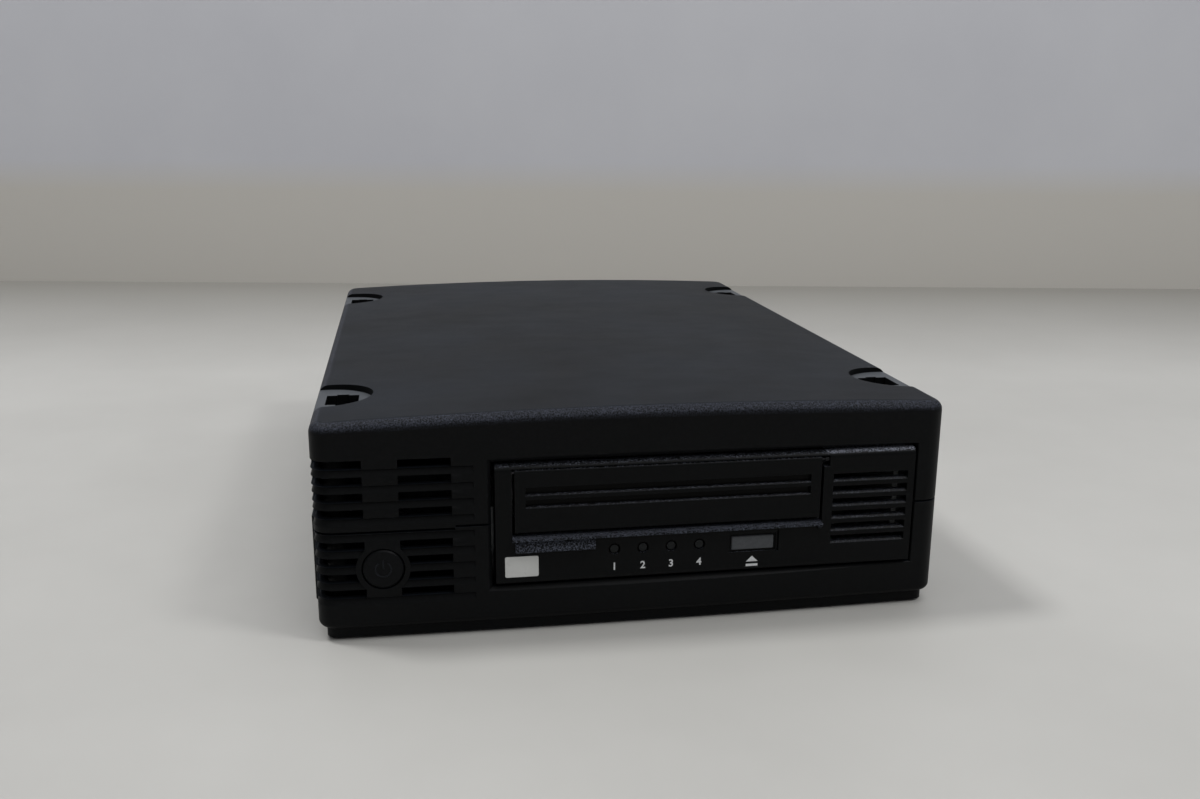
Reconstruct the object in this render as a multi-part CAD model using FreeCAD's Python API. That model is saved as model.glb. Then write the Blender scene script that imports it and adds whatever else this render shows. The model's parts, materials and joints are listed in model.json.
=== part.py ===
import FreeCAD, Part
import math
import os

# An external half-height tape drive in a moulded two-shell case.  Millimetres; X to the
# right facing the front, Y towards the rear, Z up; origin on the ground under the middle.

Vector = FreeCAD.Vector

# ---------------------------------------------------------------- case shells
case_width = 220.0
case_depth = 300.0
lid_rise = 15.8             # drive bezel's top to the lid's edge at the sides
crown_rise = 2.7            # how much higher the lid stands along its middle
front_bow = 1.5             # how far the front's middle stands ahead of its corners
wall = 2.5
corner_radius = 6.5
top_edge_radius = 3.8
bottom_edge_radius = 2.4
plinth_inset = 2.6
plinth_rise = 3.8
foot_height = 0.8           # rubber showing under the plinth
parting_height = 40.0
parting_gap = 0.8           # shadow line between the shells
tongue_thickness = 1.1
tongue_rise = 2.4
tongue_clearance = 0.15
side_land_reach = 1.5       # raised land on each side of the lower shell
side_land_setback = 18.0
side_land_bottom = 8.0
side_land_chamfer = 1.2

# ---------------------------------------------------------------- vents and power button
vent_pitch = 5.62
vent_slot_height = 3.0
vent_rows_each_side = 4     # slot rows above and below the parting row
vent_column_half = 5.8      # half the plain column between the two slot groups
vent_inner_end = 64.4       # distance of the vents' inner end from the middle plane
vent_fade_end = 57.0        # distance of the louvre ledges' inner end
vent_wrap = 13.0            # how far the slots run back round the corner
louvre_depth = 0.9
power_x = -87.6
power_z = 26.0
power_hole_radius = 7.2
power_ring_gap = 0.45
power_land_radius = 9.0
power_cap_proud = 0.3
power_cap_chamfer = 0.5
power_sleeve_wall = 1.5
power_sleeve_depth = 4.0
power_flange_thickness = 1.5
power_flange_lip = 1.4
power_travel = 2.0
power_stem_radius = 1.8
power_stem_grip = 6.0
power_spring_room = 5.5
power_spring_wall = 0.7
power_switch_size = 13.0
power_switch_depth = 16.0
power_pin_bottom = 2.0      # switch terminals, above the button's middle
power_pin_top = 4.5

# ---------------------------------------------------------------- stacking sockets and feet
socket_x = 100.6
socket_setback = 41.3       # from the case's front and rear
socket_disc_radius = 16.1
socket_disc_offset = 5.2    # disc centre, outboard of the socket's
socket_disc_depth = 1.6
socket_width = 11.4
socket_length = 13.4
socket_depth = 9.0
socket_wall = 1.4
socket_notch_width = 4.2
socket_notch_depth = 1.1
foot_inset = 0.6            # how much smaller the foot is than the socket
foot_seat_depth = 1.2

# ---------------------------------------------------------------- drive unit, front
drive_x = 24.1
bezel_width = 148.5
bezel_height = 42.0
bezel_bottom = 18.4
bezel_depth = 9.0
bezel_plate = 3.2
bezel_wall = 2.0
bezel_gap = 1.3             # between the bezel and the case's opening
opening_chamfer = 1.5
bezel_top_radius = 2.4
bezel_edge_radius = 0.5
bay_offset = -14.0          # cartridge bay's middle, from the drive's
aperture_width = 109.2
aperture_rise = 16.6        # bezel's lower edge to the bay's floor
top_rail = 1.5              # bezel left above the aperture
door_side_gap = 0.9
door_top_gap = 0.25
door_bottom_gap = 1.5
door_thickness = 2.2
door_barrel_radius = 1.1
door_pin_radius = 0.5
door_pin_clearance = 0.05
door_pin_grip = 2.6         # pin length held at each side of the aperture
door_groove_width = 100.0
door_groove_height = 2.6
door_groove_depth = 1.6
door_groove_pitch = 4.35
door_groove_drop = 6.5      # aperture's top to the first groove
door_groove_ledge = 0.4     # bevel on a groove's lower edge
door_spring_length = 1.6
door_spring_wall = 0.45
door_spring_leg = 0.2
door_spring_drop = 1.9
sill_reach = 1.7
sill_lip = 0.8
sill_slope = 0.4
sill_run = 2.8
sill_floor = 1.6
sill_floor_reach = 23.0
sill_floor_width = 104.0
brace_width = 1.4
brace_drop = 1.8
tab_width = 28.4
tab_rise = 11.2             # bezel's lower edge to the tab's
tab_inset = 1.0
hinge_notch_width = 2.0
hinge_notch_height = 3.9
grille_offset = 58.0        # from the drive's middle
grille_width = 27.5
grille_slot_height = 2.4
grille_pitch = 4.58
grille_slots = 6
grille_drop = 9.4           # bezel's top to the first slot's middle
grille_ledge = 0.6          # bevel on a slot's lower edge
groove_offset = 24.8        # upright line on the bezel, from the drive's middle
groove_width = 0.7
groove_depth = 1.0
groove_rise = 6.2           # from the bezel's lower edge
groove_height = 7.8
lens_offset = -33.55        # first lens, from the drive's middle
lens_pitch = 10.0
lens_count = 4
lens_rise = 10.45           # from the bezel's lower edge
lens_radius = 1.45
lens_hole_radius = 1.95
lens_recess = 0.35
eject_offset = 15.6         # from the drive's middle
eject_rise = 10.0           # from the bezel's lower edge
eject_width = 15.1
eject_height = 4.8
eject_gap = 0.2
eject_recess_margin = 0.9
eject_recess_depth = 0.6
eject_proud = 0.2
eject_flange = 1.0
eject_lip = 1.2
eject_travel = 1.0
badge_offset = -65.5        # from the drive's middle
badge_rise = 6.0            # from the bezel's lower edge
badge_width = 11.4
badge_height = 7.4
badge_thickness = 0.5
badge_recess = 0.3
board_gap = 7.4             # bezel face to the front board
board_thickness = 1.6

# ---------------------------------------------------------------- drive unit, mechanism
chassis_width = 146.0
chassis_lift = 0.5          # from the bezel's lower edge
chassis_drop = 0.2          # from the bezel's top to the cover's
chassis_wall = 2.5
deck_rise = 7.1             # chassis's underside to the deck's
deck_thickness = 2.5
cover_thickness = 1.0
cover_panel_width = 80.0    # shallow pressing over the reel
cover_panel_length = 60.0
cover_screw_first = 30.0
cover_screw_last = 10.0
cartridge_width = 102.0
cartridge_length = 105.4
cartridge_height = 21.5
cartridge_side_room = 1.3
cartridge_front_room = 2.0
cartridge_rear_room = 0.6
tray_setback = 24.0         # bezel face to the tray's front
tray_thickness = 1.0
tray_travel = 3.5
tray_wall_height = 20.0
tray_pin_radius = 1.5
tray_pin_first = 16.0       # from the tray's front
tray_pin_span = 58.0
tray_pin_height = 9.0       # above the tray's floor
cam_travel = 12.0
cam_plate = 1.5
cam_plate_gap = 0.8
cam_plate_height = 21.0
cam_slot_clearance = 0.15
cam_margin = 4.0
deck_gap = 0.3
bar_width = 8.0
bar_thickness = 1.3
rib_thickness = 2.0
rib_gap = 0.6
rack_height = 11.0          # deck to the rack's pitch line
rack_tail = 19.0            # how far the rack runs behind the bar's front
rack_overrun = 4.0          # rack left behind the pinion's middle at rest
pinion_gap = 1.0            # between the pinion and the plate in front of it
gear_module = 1.0
pinion_teeth = 12
gear_backlash = 0.25
pinion_shaft_radius = 1.0
motor_radius = 9.5
motor_length = 21.0
motor_bracket_thickness = 1.5
motor_boss_radius = 3.0
reel_motor_radius = 20.0
reel_flange_radius = 24.0
reel_flange_thickness = 0.8
reel_shaft_radius = 3.0
running_clearance = 0.05
motor_hole_gap = 0.3
motor_drop = 3.4            # how far a reel motor hangs under the deck
chuck_radius = 17.0
chuck_teeth = 12
chuck_tooth_height = 1.4
chuck_thickness = 1.6
chuck_engagement = 1.1
tape_width = 12.65
tape_reel_radius = 35.0
tape_hub_radius = 15.0
reel_disc_thickness = 1.5
take_up_side_gap = 3.4      # reel's rim to the chassis's left wall
take_up_front_gap = 6.0     # tray to the reel's rim
take_up_rear_gap = 1.5      # reel's rim to the chassis's rear wall
roller_radius = 6.0
roller_rim = 0.6
roller_length = 16.0
roller_post_radius = 2.0
roller_shoulder_radius = 3.4
roller_spots = [(44.0, 11.0), (60.0, 19.0), (60.0, 51.0), (40.0, 64.0)]  # from the bay's middle and tray's rear
head_offset = 55.4          # from the drive's middle
head_run = 35.0             # tray's rear to the head's middle
head_width = 9.0
head_length = 16.0
head_shaft_radius = 1.5
head_shaft_spacing = 26.0
head_carriage_thickness = 7.0

# ---------------------------------------------------------------- boards, cradle and fixings
main_board_drop = 4.4       # deck underside to the main board
standoff_radius = 3.0
standoff_inset = 10.0       # from the chassis's sides
standoff_first = 16.0       # behind the bezel
standoff_last = 12.0        # ahead of the chassis's rear
board_side_gap = 1.0
board_front_gap = 6.0
board_rear_gap = 2.0
connector_width = 42.0
connector_offset = 9.0      # from the drive's middle
connector_length = 12.0
connector_overhang = 3.0    # behind the chassis
board_chips = [(20.0, 14.0, 24.0, 24.0, 1.6),  # across, behind the bezel, width, length, height
               (47.0, 30.0, 14.0, 20.0, 1.4),
               (-62.0, 64.0, 18.0, 18.0, 1.6),
               (44.0, 74.0, 20.0, 14.0, 2.2)]
cradle_thickness = 1.2
cradle_rise = 5.7           # shell floor to the cradle
cradle_flange_height = 30.0
cradle_front_gap = 12.0
cradle_rear_gap = 8.0
cradle_window_half = 40.0
cradle_window_inset = 40.0
post_inset = 12.0           # cradle posts, from the chassis's sides
post_setback = 28.0         # and from its ends
post_radius = 4.0
boss_x = 102.2
boss_setback = 13.0
boss_radius = 4.5
screw_radius = 1.5
screw_head_radius = 2.7
screw_head_height = 2.0
screw_hole_clearance = 0.2
screw_recess = 9.0
side_screw_height = 10.0    # above the chassis's underside
side_screw_first = 47.4     # from the bezel's back
side_screw_span = 79.3

# ---------------------------------------------------------------- case electronics
supply_x = -80.0
supply_width = 46.0
supply_length = 112.0
supply_height = 34.0
supply_setback = 60.0
fan_size = 50.0
fan_depth = 15.0
fan_x = -20.0
fan_bore_radius = 23.5
fan_hub_radius = 10.0
fan_blade_radius = 22.8
fan_blades = 7
fan_blade_thickness = 1.6
grille_ring_width = 4.0
fan_hole_spacing = 40.0
rear_opening_margin = 12.0
rear_opening_bottom = 12.0
rear_opening_drop = 12.2    # lid's edge to the opening
panel_thickness = 1.2
panel_overlap = 3.0
panel_screw_inset = 6.0
inlet_x = -71.0
inlet_z = 27.0
inlet_width = 27.0
inlet_height = 20.0
inlet_depth = 18.0
inlet_flange = 2.0
inlet_tab_length = 4.0
inlet_tab_rise = 3.0
data_x = 56.0
data_z = 30.0
data_width = 26.0
data_height = 12.0
data_depth = 24.0
data_shell = 0.8
data_proud = 1.6
cable_radius = 3.0
lead_radius = 2.0
lead_run = 0.3              # share of a cable's gap that it runs straight at each end

# ---------------------------------------------------------------- places that follow
far = 400.0                 # larger than the object, for cutting tools
sliver = 0.01
case_front = (sill_reach - case_depth) / 2
case_rear = case_front + case_depth
case_half = case_width / 2
body_bottom = foot_height + plinth_rise
shell_floor = foot_height + wall
bezel_back = case_front + bezel_depth
bezel_top = bezel_bottom + bezel_height
side_height = bezel_top + lid_rise
rear_opening_top = side_height - rear_opening_drop
bay_x = drive_x + bay_offset
aperture_bottom = bezel_bottom + aperture_rise
aperture_top = bezel_top - top_rail
door_axis_y = case_front + door_thickness / 2
door_axis_z = aperture_top - door_top_gap - door_barrel_radius
door_groove_top = aperture_top - door_groove_drop
hinge_notch_depth = door_thickness + 2 * door_spring_leg + 3 * door_pin_clearance
tab_bottom = bezel_bottom + tab_rise
grille_x = drive_x + grille_offset
grille_top = bezel_top - grille_drop
groove_x = drive_x + groove_offset
groove_bottom = bezel_bottom + groove_rise
lens_first_x = drive_x + lens_offset
lens_z = bezel_bottom + lens_rise
eject_x = drive_x + eject_offset
eject_z = bezel_bottom + eject_rise
badge_x = drive_x + badge_offset
badge_z = bezel_bottom + badge_rise
tray_front = case_front + tray_setback
tray_length = cartridge_front_room + cartridge_length + cartridge_rear_room
tray_rear = tray_front + tray_length
chassis_bottom = bezel_bottom + chassis_lift
chassis_top = bezel_top - chassis_drop - cover_thickness
deck_bottom = chassis_bottom + deck_rise
deck_top = deck_bottom + deck_thickness
chassis_left = drive_x - chassis_width / 2
chassis_right = drive_x + chassis_width / 2
chassis_rear = tray_rear + take_up_front_gap + 2 * tape_reel_radius + take_up_rear_gap + chassis_wall
tray_inner_half = cartridge_width / 2 + cartridge_side_room
tray_outer_half = tray_inner_half + tray_thickness
tray_floor_top = aperture_bottom
tape_middle = tray_floor_top - tray_travel + cartridge_height / 2
chuck_y = tray_front + cartridge_front_room + cartridge_length / 2
take_up_x = chassis_left + chassis_wall + take_up_side_gap + tape_reel_radius
take_up_y = tray_rear + take_up_front_gap + tape_reel_radius
head_x = drive_x + head_offset
cam_left = bay_x - tray_outer_half - cam_plate_gap - cam_plate
cam_right = bay_x + tray_outer_half + cam_plate_gap
rib_left = cam_right + cam_plate + rib_gap
bar_front = chuck_y + reel_flange_radius + 6.0
rack_pitch_z = deck_top + rack_height
pinion_radius = gear_module * pinion_teeth / 2
pinion_y = bar_front + rack_tail - rack_overrun
pinion_z = rack_pitch_z + pinion_radius
cradle_bottom = shell_floor + cradle_rise
main_board_top = deck_bottom - main_board_drop
panel_face = case_rear - wall
boss_places = [(side * boss_x, y) for side in (-1, 1)
               for y in (case_front + boss_setback, case_rear - boss_setback)]
socket_places = {
    "front_left": (-1, case_front + socket_setback),
    "front_right": (1, case_front + socket_setback),
    "rear_left": (-1, case_rear - socket_setback),
    "rear_right": (1, case_rear - socket_setback),
}
roller_places = [(bay_x + across, tray_rear + behind) for across, behind in roller_spots]


# ================================================================ helpers
def block(x0, x1, y0, y1, z0, z1):
    return Part.makeBox(x1 - x0, y1 - y0, z1 - z0, Vector(x0, y0, z0))


def centred_block(x, y0, y1, z, width, height):
    return block(x - width / 2, x + width / 2, y0, y1, z - height / 2, z + height / 2)


def rod(radius, start, end):
    start = Vector(*start)
    axis = Vector(*end) - start
    return Part.makeCylinder(radius, axis.Length, start, axis)


def tube(outer, inner, start, end):
    return rod(outer, start, end).cut(rod(inner, start, end))


def fused(shapes):
    whole = shapes[0].multiFuse(shapes[1:]) if len(shapes) > 1 else shapes[0]
    return whole.removeSplitter()


def group(shapes):
    return Part.makeCompound(shapes)


def polygon_face(points):
    return Part.Face(Part.makePolygon([Vector(*p) for p in points + points[:1]]))


def side_profile(points, x0, x1):
    """A solid whose outline in the YZ plane is given, from x0 to x1."""
    return polygon_face([(x0, y, z) for y, z in points]).extrude(Vector(x1 - x0, 0, 0))


def is_along(edge, axis):
    if not isinstance(edge.Curve, (Part.Line, Part.LineSegment)):
        return False
    run = edge.Vertexes[-1].Point - edge.Vertexes[0].Point
    return abs(abs(run.normalize().dot(axis)) - 1) < 1e-6


def rounded_along(shape, axis, radius):
    return shape.makeFillet(radius, [e for e in shape.Edges if is_along(e, axis)])


def rounded_block(x0, x1, y0, y1, z0, z1, radius, axis=Vector(0, 0, 1)):
    return rounded_along(block(x0, x1, y0, y1, z0, z1), axis, radius)


def edges_at(shape, test):
    return [e for e in shape.Edges if test(e.BoundBox)]


def front_at(x):
    """Y of the bowed front face at a distance x from the middle plane."""
    bow_radius = (case_half ** 2 + front_bow ** 2) / (2 * front_bow)
    return case_front + bow_radius - math.sqrt(bow_radius ** 2 - x ** 2)


# ================================================================ case body
def plan_block(inset, bottom, top):
    """The case's plan with its bowed front, corners still sharp, as an upright prism."""
    half = case_half - inset
    rear = case_rear - inset
    middle = case_front + inset
    corner = middle + front_bow
    front = Part.Arc(Vector(-half, corner, bottom), Vector(0, middle, bottom), Vector(half, corner, bottom))
    sides = Part.makePolygon([Vector(half, corner, bottom), Vector(half, rear, bottom),
                              Vector(-half, rear, bottom), Vector(-half, corner, bottom)])
    face = Part.Face(Part.Wire([front.toShape()] + sides.Edges))
    return face.extrude(Vector(0, 0, top - bottom))


def cornered(shape, inset):
    return rounded_along(shape, Vector(0, 0, 1), max(corner_radius - inset, 0.6))


def plan_prism(inset, bottom, top):
    return cornered(plan_block(inset, bottom, top), inset)


def crowned_slab(inset, bottom):
    """Everything under the lid's crown, lowered by the inset."""
    edge_z = side_height - inset
    reach = case_half
    arc = Part.Arc(Vector(-reach, -far / 2, edge_z), Vector(0, -far / 2, edge_z + crown_rise),
                   Vector(reach, -far / 2, edge_z))
    rest = Part.makePolygon([Vector(reach, -far / 2, edge_z), Vector(reach, -far / 2, bottom),
                             Vector(-reach, -far / 2, bottom), Vector(-reach, -far / 2, edge_z)])
    return Part.Face(Part.Wire([arc.toShape()] + rest.Edges)).extrude(Vector(0, far, 0))


def case_outside():
    body = cornered(plan_block(0, body_bottom, side_height + 2 * crown_rise).common(crowned_slab(0, 0)), 0)
    top = edges_at(body, lambda b: b.ZMin > side_height - 1)
    body = body.makeFillet(top_edge_radius, top)
    low = edges_at(body, lambda b: b.ZMax < body_bottom + sliver)
    body = body.makeFillet(bottom_edge_radius, low)
    plinth = plan_prism(plinth_inset, foot_height, body_bottom + sliver)
    return body.fuse(plinth)


def case_inside():
    cavity = plan_block(wall, body_bottom + wall, side_height + 2 * crown_rise)
    cavity = cornered(cavity.common(crowned_slab(wall, 0)), wall)
    well = plan_prism(plinth_inset + wall, shell_floor, body_bottom + wall + sliver)
    return cavity.fuse(well)


def vent_zone(bottom, top):
    return block(-far / 2, -vent_inner_end + 1.0, case_front - 5, case_front + vent_wrap + 1.0, bottom, top)


def parted(shape, upper):
    """The part of the shape above or below the parting line, which steps down at the vents."""
    step = vent_pitch / 2 - vent_slot_height / 2 - parting_gap / 2
    half_gap = parting_gap / 2
    if upper:
        rim = parting_height + half_gap
        main = shape.common(block(-far, far, -far, far, rim, far))
        drop = shape.common(vent_zone(rim - step, rim))
        return main.fuse(drop)
    rim = parting_height - half_gap
    main = shape.common(block(-far, far, -far, far, -far, rim))
    return main.cut(vent_zone(rim - step, rim + sliver))


def vent_row_heights():
    rows = range(-vent_rows_each_side, vent_rows_each_side + 1)
    return [parting_height + row * vent_pitch for row in rows if row != 0]


def power_cylinder(radius):
    return rod(radius, (power_x, case_front - 10, power_z), (power_x, case_front + 30, power_z))


def vent_slots():
    """Slots in two groups: one wraps the corner, the other ends short of the drive."""
    half = vent_slot_height / 2
    column_left = power_x - vent_column_half
    column_right = power_x + vent_column_half
    rear = case_front + vent_wrap
    rows = []
    for z in vent_row_heights():
        rows.append(block(-far / 2, column_left, case_front - 5, rear, z - half, z + half))
        rows.append(block(column_right, -vent_inner_end, case_front - 5, rear, z - half, z + half))
    low = min(vent_row_heights()) - vent_pitch
    high = max(vent_row_heights()) + vent_pitch
    skin = plan_prism(-1.0, low, high).cut(plan_prism(wall + 0.5, low - 1, high + 1))
    return skin.common(group(rows)).cut(power_cylinder(power_land_radius))


def louvre_ledges():
    """Under each slot row the face steps back and recovers by the next row, like lapped boards."""
    tools = []
    zone_right = -vent_fade_end
    rear = case_front + vent_wrap
    for z in vent_row_heights() + [parting_height]:
        line = z - vent_slot_height / 2
        low = line - (vent_pitch - vent_slot_height)
        sloped = Part.makeLoft([plan_prism(0, low, line).slice(Vector(0, 0, 1), low + sliver)[0],
                                plan_prism(louvre_depth, low, line).slice(Vector(0, 0, 1), line - sliver)[0]],
                               True, True)
        ring = plan_prism(-1.0, low + sliver, line - sliver).cut(sloped)
        tools.append(ring.common(block(-far / 2, zone_right, case_front - 5, rear, low - 1, line + 1)))
    return group(tools).cut(power_cylinder(power_land_radius))


def front_opening():
    """The hole that the drive's bezel sits in, with a chamfered rim."""
    width = bezel_width + 2 * bezel_gap
    height = bezel_height + 2 * bezel_gap
    middle = bezel_bottom + bezel_height / 2
    hole = centred_block(drive_x, case_front - 5, case_front + 20, middle, width, height)
    rims = []
    for y, grow in ((case_front - 1, opening_chamfer + 1), (case_front + opening_chamfer, 0)):
        half_w = width / 2 + grow
        half_h = height / 2 + grow
        rims.append(Part.makePolygon([Vector(drive_x - half_w, y, middle - half_h),
                                      Vector(drive_x + half_w, y, middle - half_h),
                                      Vector(drive_x + half_w, y, middle + half_h),
                                      Vector(drive_x - half_w, y, middle + half_h),
                                      Vector(drive_x - half_w, y, middle - half_h)]))
    return hole.fuse(Part.makeLoft(rims, True, True))


def rear_opening():
    half = case_half - rear_opening_margin
    return rounded_block(-half, half, case_rear - wall - 1, case_rear + 5,
                         rear_opening_bottom, rear_opening_top, 2.0, Vector(0, 1, 0))


def panel_screw_places():
    half = case_half - rear_opening_margin - panel_screw_inset
    return [(side * half, z) for side in (-1, 1)
            for z in (rear_opening_bottom + panel_screw_inset, rear_opening_top - panel_screw_inset)]


def screw_bore(x, y, z0, z1, radius):
    return rod(radius, (x, y, z0), (x, y, z1))


def socket_recess(side, y, lid_z):
    disc = rod(socket_disc_radius, (side * (socket_x + socket_disc_offset), y, lid_z - socket_disc_depth),
               (side * (socket_x + socket_disc_offset), y, lid_z + 10))
    x = side * socket_x
    half_w = socket_width / 2
    half_l = socket_length / 2
    well = block(x - half_w, x + half_w, y - half_l, y + half_l, lid_z - socket_depth, lid_z)
    half_n = socket_notch_width / 2
    reach = half_l + socket_notch_depth
    notch = block(x - half_n, x + half_n, y - reach, y + reach, lid_z - socket_depth, lid_z)
    return disc.fuse(well.fuse(notch))


def socket_cup(side, y, lid_z):
    x = side * socket_x
    half_w = socket_width / 2 + socket_wall
    half_l = socket_length / 2 + socket_notch_depth + socket_wall
    outer = min(half_w, case_half - wall / 2 - socket_x)
    x0, x1 = sorted((x - side * half_w, x + side * outer))
    return block(x0, x1, y - half_l, y + half_l, lid_z - socket_depth - socket_wall, lid_z - socket_disc_depth)


def upper_shell():
    outside = case_outside()
    shell = outside.cut(case_inside())
    shell = parted(shell, True)
    rebate = plan_prism(wall - tongue_thickness - tongue_clearance, parting_height - 5,
                        parting_height + tongue_rise)
    shell = shell.cut(rebate.cut(plan_prism(wall + 1, 0, far / 2)))
    lid_z = side_height
    additions = []
    for side, y in socket_places.values():
        additions.append(socket_cup(side, y, lid_z))
        skin = rod(socket_disc_radius + socket_wall,
                   (side * (socket_x + socket_disc_offset), y, lid_z - socket_disc_depth - socket_wall),
                   (side * (socket_x + socket_disc_offset), y, lid_z))
        additions.append(skin)
    for x, y in boss_places:
        additions.append(screw_bore(x, y, parting_height, side_height, boss_radius))
    for x, z in panel_screw_places():
        if z > parting_height:
            additions.append(centred_block(x, panel_face - panel_thickness - 8, panel_face - panel_thickness,
                                           (z - 4 + side_height) / 2, 8.0, side_height - z + 4))
    inner_space = plan_prism(wall / 2, parting_height, side_height + crown_rise + 5)
    inner_space = inner_space.common(crowned_slab(wall / 2, 0))
    shell = shell.fuse(group(additions).common(inner_space))
    for side, y in socket_places.values():
        shell = shell.cut(socket_recess(side, y, lid_z))
    for x, y in boss_places:
        shell = shell.cut(screw_bore(x, y, parting_height - 1, parting_height + 12, screw_radius))
    for x, z in panel_screw_places():
        if z > parting_height:
            shell = shell.cut(rod(screw_radius, (x, panel_face - 8, z), (x, panel_face + 1, z)))
    shell = shell.cut(vent_slots()).cut(louvre_ledges())
    shell = shell.cut(front_opening()).cut(rear_opening())
    return shell.removeSplitter()


def side_land(side):
    x0, x1 = sorted((side * (case_half - wall / 2), side * (case_half + side_land_reach)))
    land = block(x0, x1, case_front + side_land_setback, case_rear - side_land_setback,
                 side_land_bottom, parting_height - parting_gap / 2)
    outer = side * (case_half + side_land_reach)
    edges = edges_at(land, lambda b: abs(b.XMin - outer) < sliver and abs(b.XMax - outer) < sliver
                     and b.ZMin < parting_height - parting_gap)
    return land.makeChamfer(side_land_chamfer, edges)


def lower_shell():
    outside = case_outside()
    outside = outside.fuse([side_land(-1), side_land(1)])
    shell = parted(outside.cut(case_inside()), False)
    tongue = plan_prism(wall - tongue_thickness, parting_height - 3, parting_height + tongue_rise)
    tongue = tongue.cut(plan_prism(wall, 0, far / 2))
    zone_rear = case_front + vent_wrap + 1.0
    tongue = tongue.cut(block(-far / 2, -vent_inner_end + 1.0, case_front - 5, zone_rear, 0, far / 2))
    shell = shell.fuse(tongue)
    additions = []
    for x, y in boss_places:
        additions.append(screw_bore(x, y, shell_floor - 1, parting_height, boss_radius))
    for x, z in panel_screw_places():
        if z < parting_height:
            additions.append(block(x - 4, x + 4, panel_face - panel_thickness - 8, panel_face - panel_thickness,
                                   shell_floor - 1, z + 4))
    for x, y in cradle_post_places():
        additions.append(rod(post_radius, (x, y, shell_floor - 1), (x, y, cradle_bottom)))
    for x, y in supply_post_places():
        additions.append(rod(post_radius, (x, y, shell_floor - 1), (x, y, supply_bottom())))
    front = front_at(power_x)
    additions.append(rod(power_hole_radius + power_sleeve_wall, (power_x, front + wall / 2, power_z),
                         (power_x, power_sleeve_end(), power_z)))
    half = power_switch_size / 2
    additions.append(block(power_x - half, power_x + half, power_switch_front(),
                           power_switch_front() + power_switch_depth, shell_floor - 1, power_z - half))
    room = plan_prism(wall / 2, foot_height + wall / 2, parting_height)
    shell = shell.fuse(group(additions).common(room))
    for x, y in boss_places:
        shell = shell.cut(screw_bore(x, y, 0, screw_recess, screw_head_radius + screw_hole_clearance))
        shell = shell.cut(screw_bore(x, y, 0, parting_height + 1, screw_radius + screw_hole_clearance))
    for x, z in panel_screw_places():
        if z < parting_height:
            shell = shell.cut(rod(screw_radius, (x, panel_face - 8, z), (x, panel_face + 1, z)))
    for x, y in cradle_post_places():
        shell = shell.cut(screw_bore(x, y, cradle_bottom - 5, cradle_bottom + 1, screw_radius))
    for side, y in socket_places.values():
        shell = shell.cut(foot_shape(side, y, foot_height - 1, foot_height + foot_seat_depth, 0.0))
    shell = shell.cut(power_cylinder(power_hole_radius))
    shell = shell.cut(vent_slots()).cut(louvre_ledges())
    shell = shell.cut(front_opening()).cut(rear_opening())
    return shell.removeSplitter()


def foot_shape(side, y, z0, z1, shrink):
    half_w = (socket_width - foot_inset) / 2 - shrink
    half_l = (socket_length - foot_inset) / 2 - shrink
    x = side * socket_x
    return rounded_block(x - half_w, x + half_w, y - half_l, y + half_l, z0, z1, 1.5)


def foot(side, y):
    pad = foot_shape(side, y, 0, foot_height + foot_seat_depth, 0.0)
    low = edges_at(pad, lambda b: b.ZMax < sliver)
    return pad.makeChamfer(0.4, low)


def screw(place, direction, length, head_radius=None):
    """A pan-head screw: head seated at place, shank running along direction."""
    head_radius = head_radius or screw_head_radius
    start = Vector(*place)
    shank = Part.makeCylinder(screw_radius - sliver, length, start, direction)
    head = Part.makeCylinder(head_radius, screw_head_height, start - direction * screw_head_height, direction)
    outer = start - direction * screw_head_height
    rim = [e for e in head.Edges if abs((e.CenterOfMass - outer).dot(direction)) < sliver]
    head = head.makeFillet(0.6, rim)
    slot_depth = screw_head_height / 2
    slot = Part.makeBox(0.8, 2 * head_radius, 2 * head_radius, Vector(-0.4, -head_radius, -head_radius))
    slot = slot.common(Part.makeBox(0.8, 2.8, slot_depth * 2, Vector(-0.4, -1.4, -slot_depth)))
    cross = slot.copy()
    cross.rotate(Vector(0, 0, 0), Vector(0, 0, 1), 90)
    drive = slot.fuse(cross)
    drive.Placement = FreeCAD.Placement(outer, FreeCAD.Rotation(Vector(0, 0, 1), direction)).multiply(
        drive.Placement)
    return shank.fuse(head).cut(drive)


def case_screws():
    length = parting_height + 8 - screw_recess
    return group([screw((x, y, screw_recess), Vector(0, 0, 1), length) for x, y in boss_places])


# ================================================================ power button
def power_sleeve_end():
    return front_at(power_x) + wall + power_sleeve_depth


def power_flange_front():
    return power_sleeve_end() + running_clearance


def power_switch_front():
    return power_flange_front() + power_flange_thickness + power_spring_room


def power_button():
    front = front_at(power_x) - power_cap_proud
    cap = rod(power_hole_radius - power_ring_gap, (power_x, front, power_z),
              (power_x, power_flange_front(), power_z))
    rim = edges_at(cap, lambda b: b.YMax < front + sliver)
    cap = cap.makeChamfer(power_cap_chamfer, rim)
    flange_end = power_flange_front() + power_flange_thickness
    flange = rod(power_hole_radius + power_flange_lip, (power_x, power_flange_front(), power_z),
                 (power_x, flange_end, power_z))
    stem = rod(power_stem_radius, (power_x, flange_end - 1, power_z),
               (power_x, power_switch_front() + power_stem_grip, power_z))
    return fused([cap, flange, stem])


def power_button_spring():
    start = power_flange_front() + power_flange_thickness
    inner = power_stem_radius + 0.5
    return tube(inner + power_spring_wall, inner, (power_x, start, power_z),
                (power_x, power_switch_front(), power_z))


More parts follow.
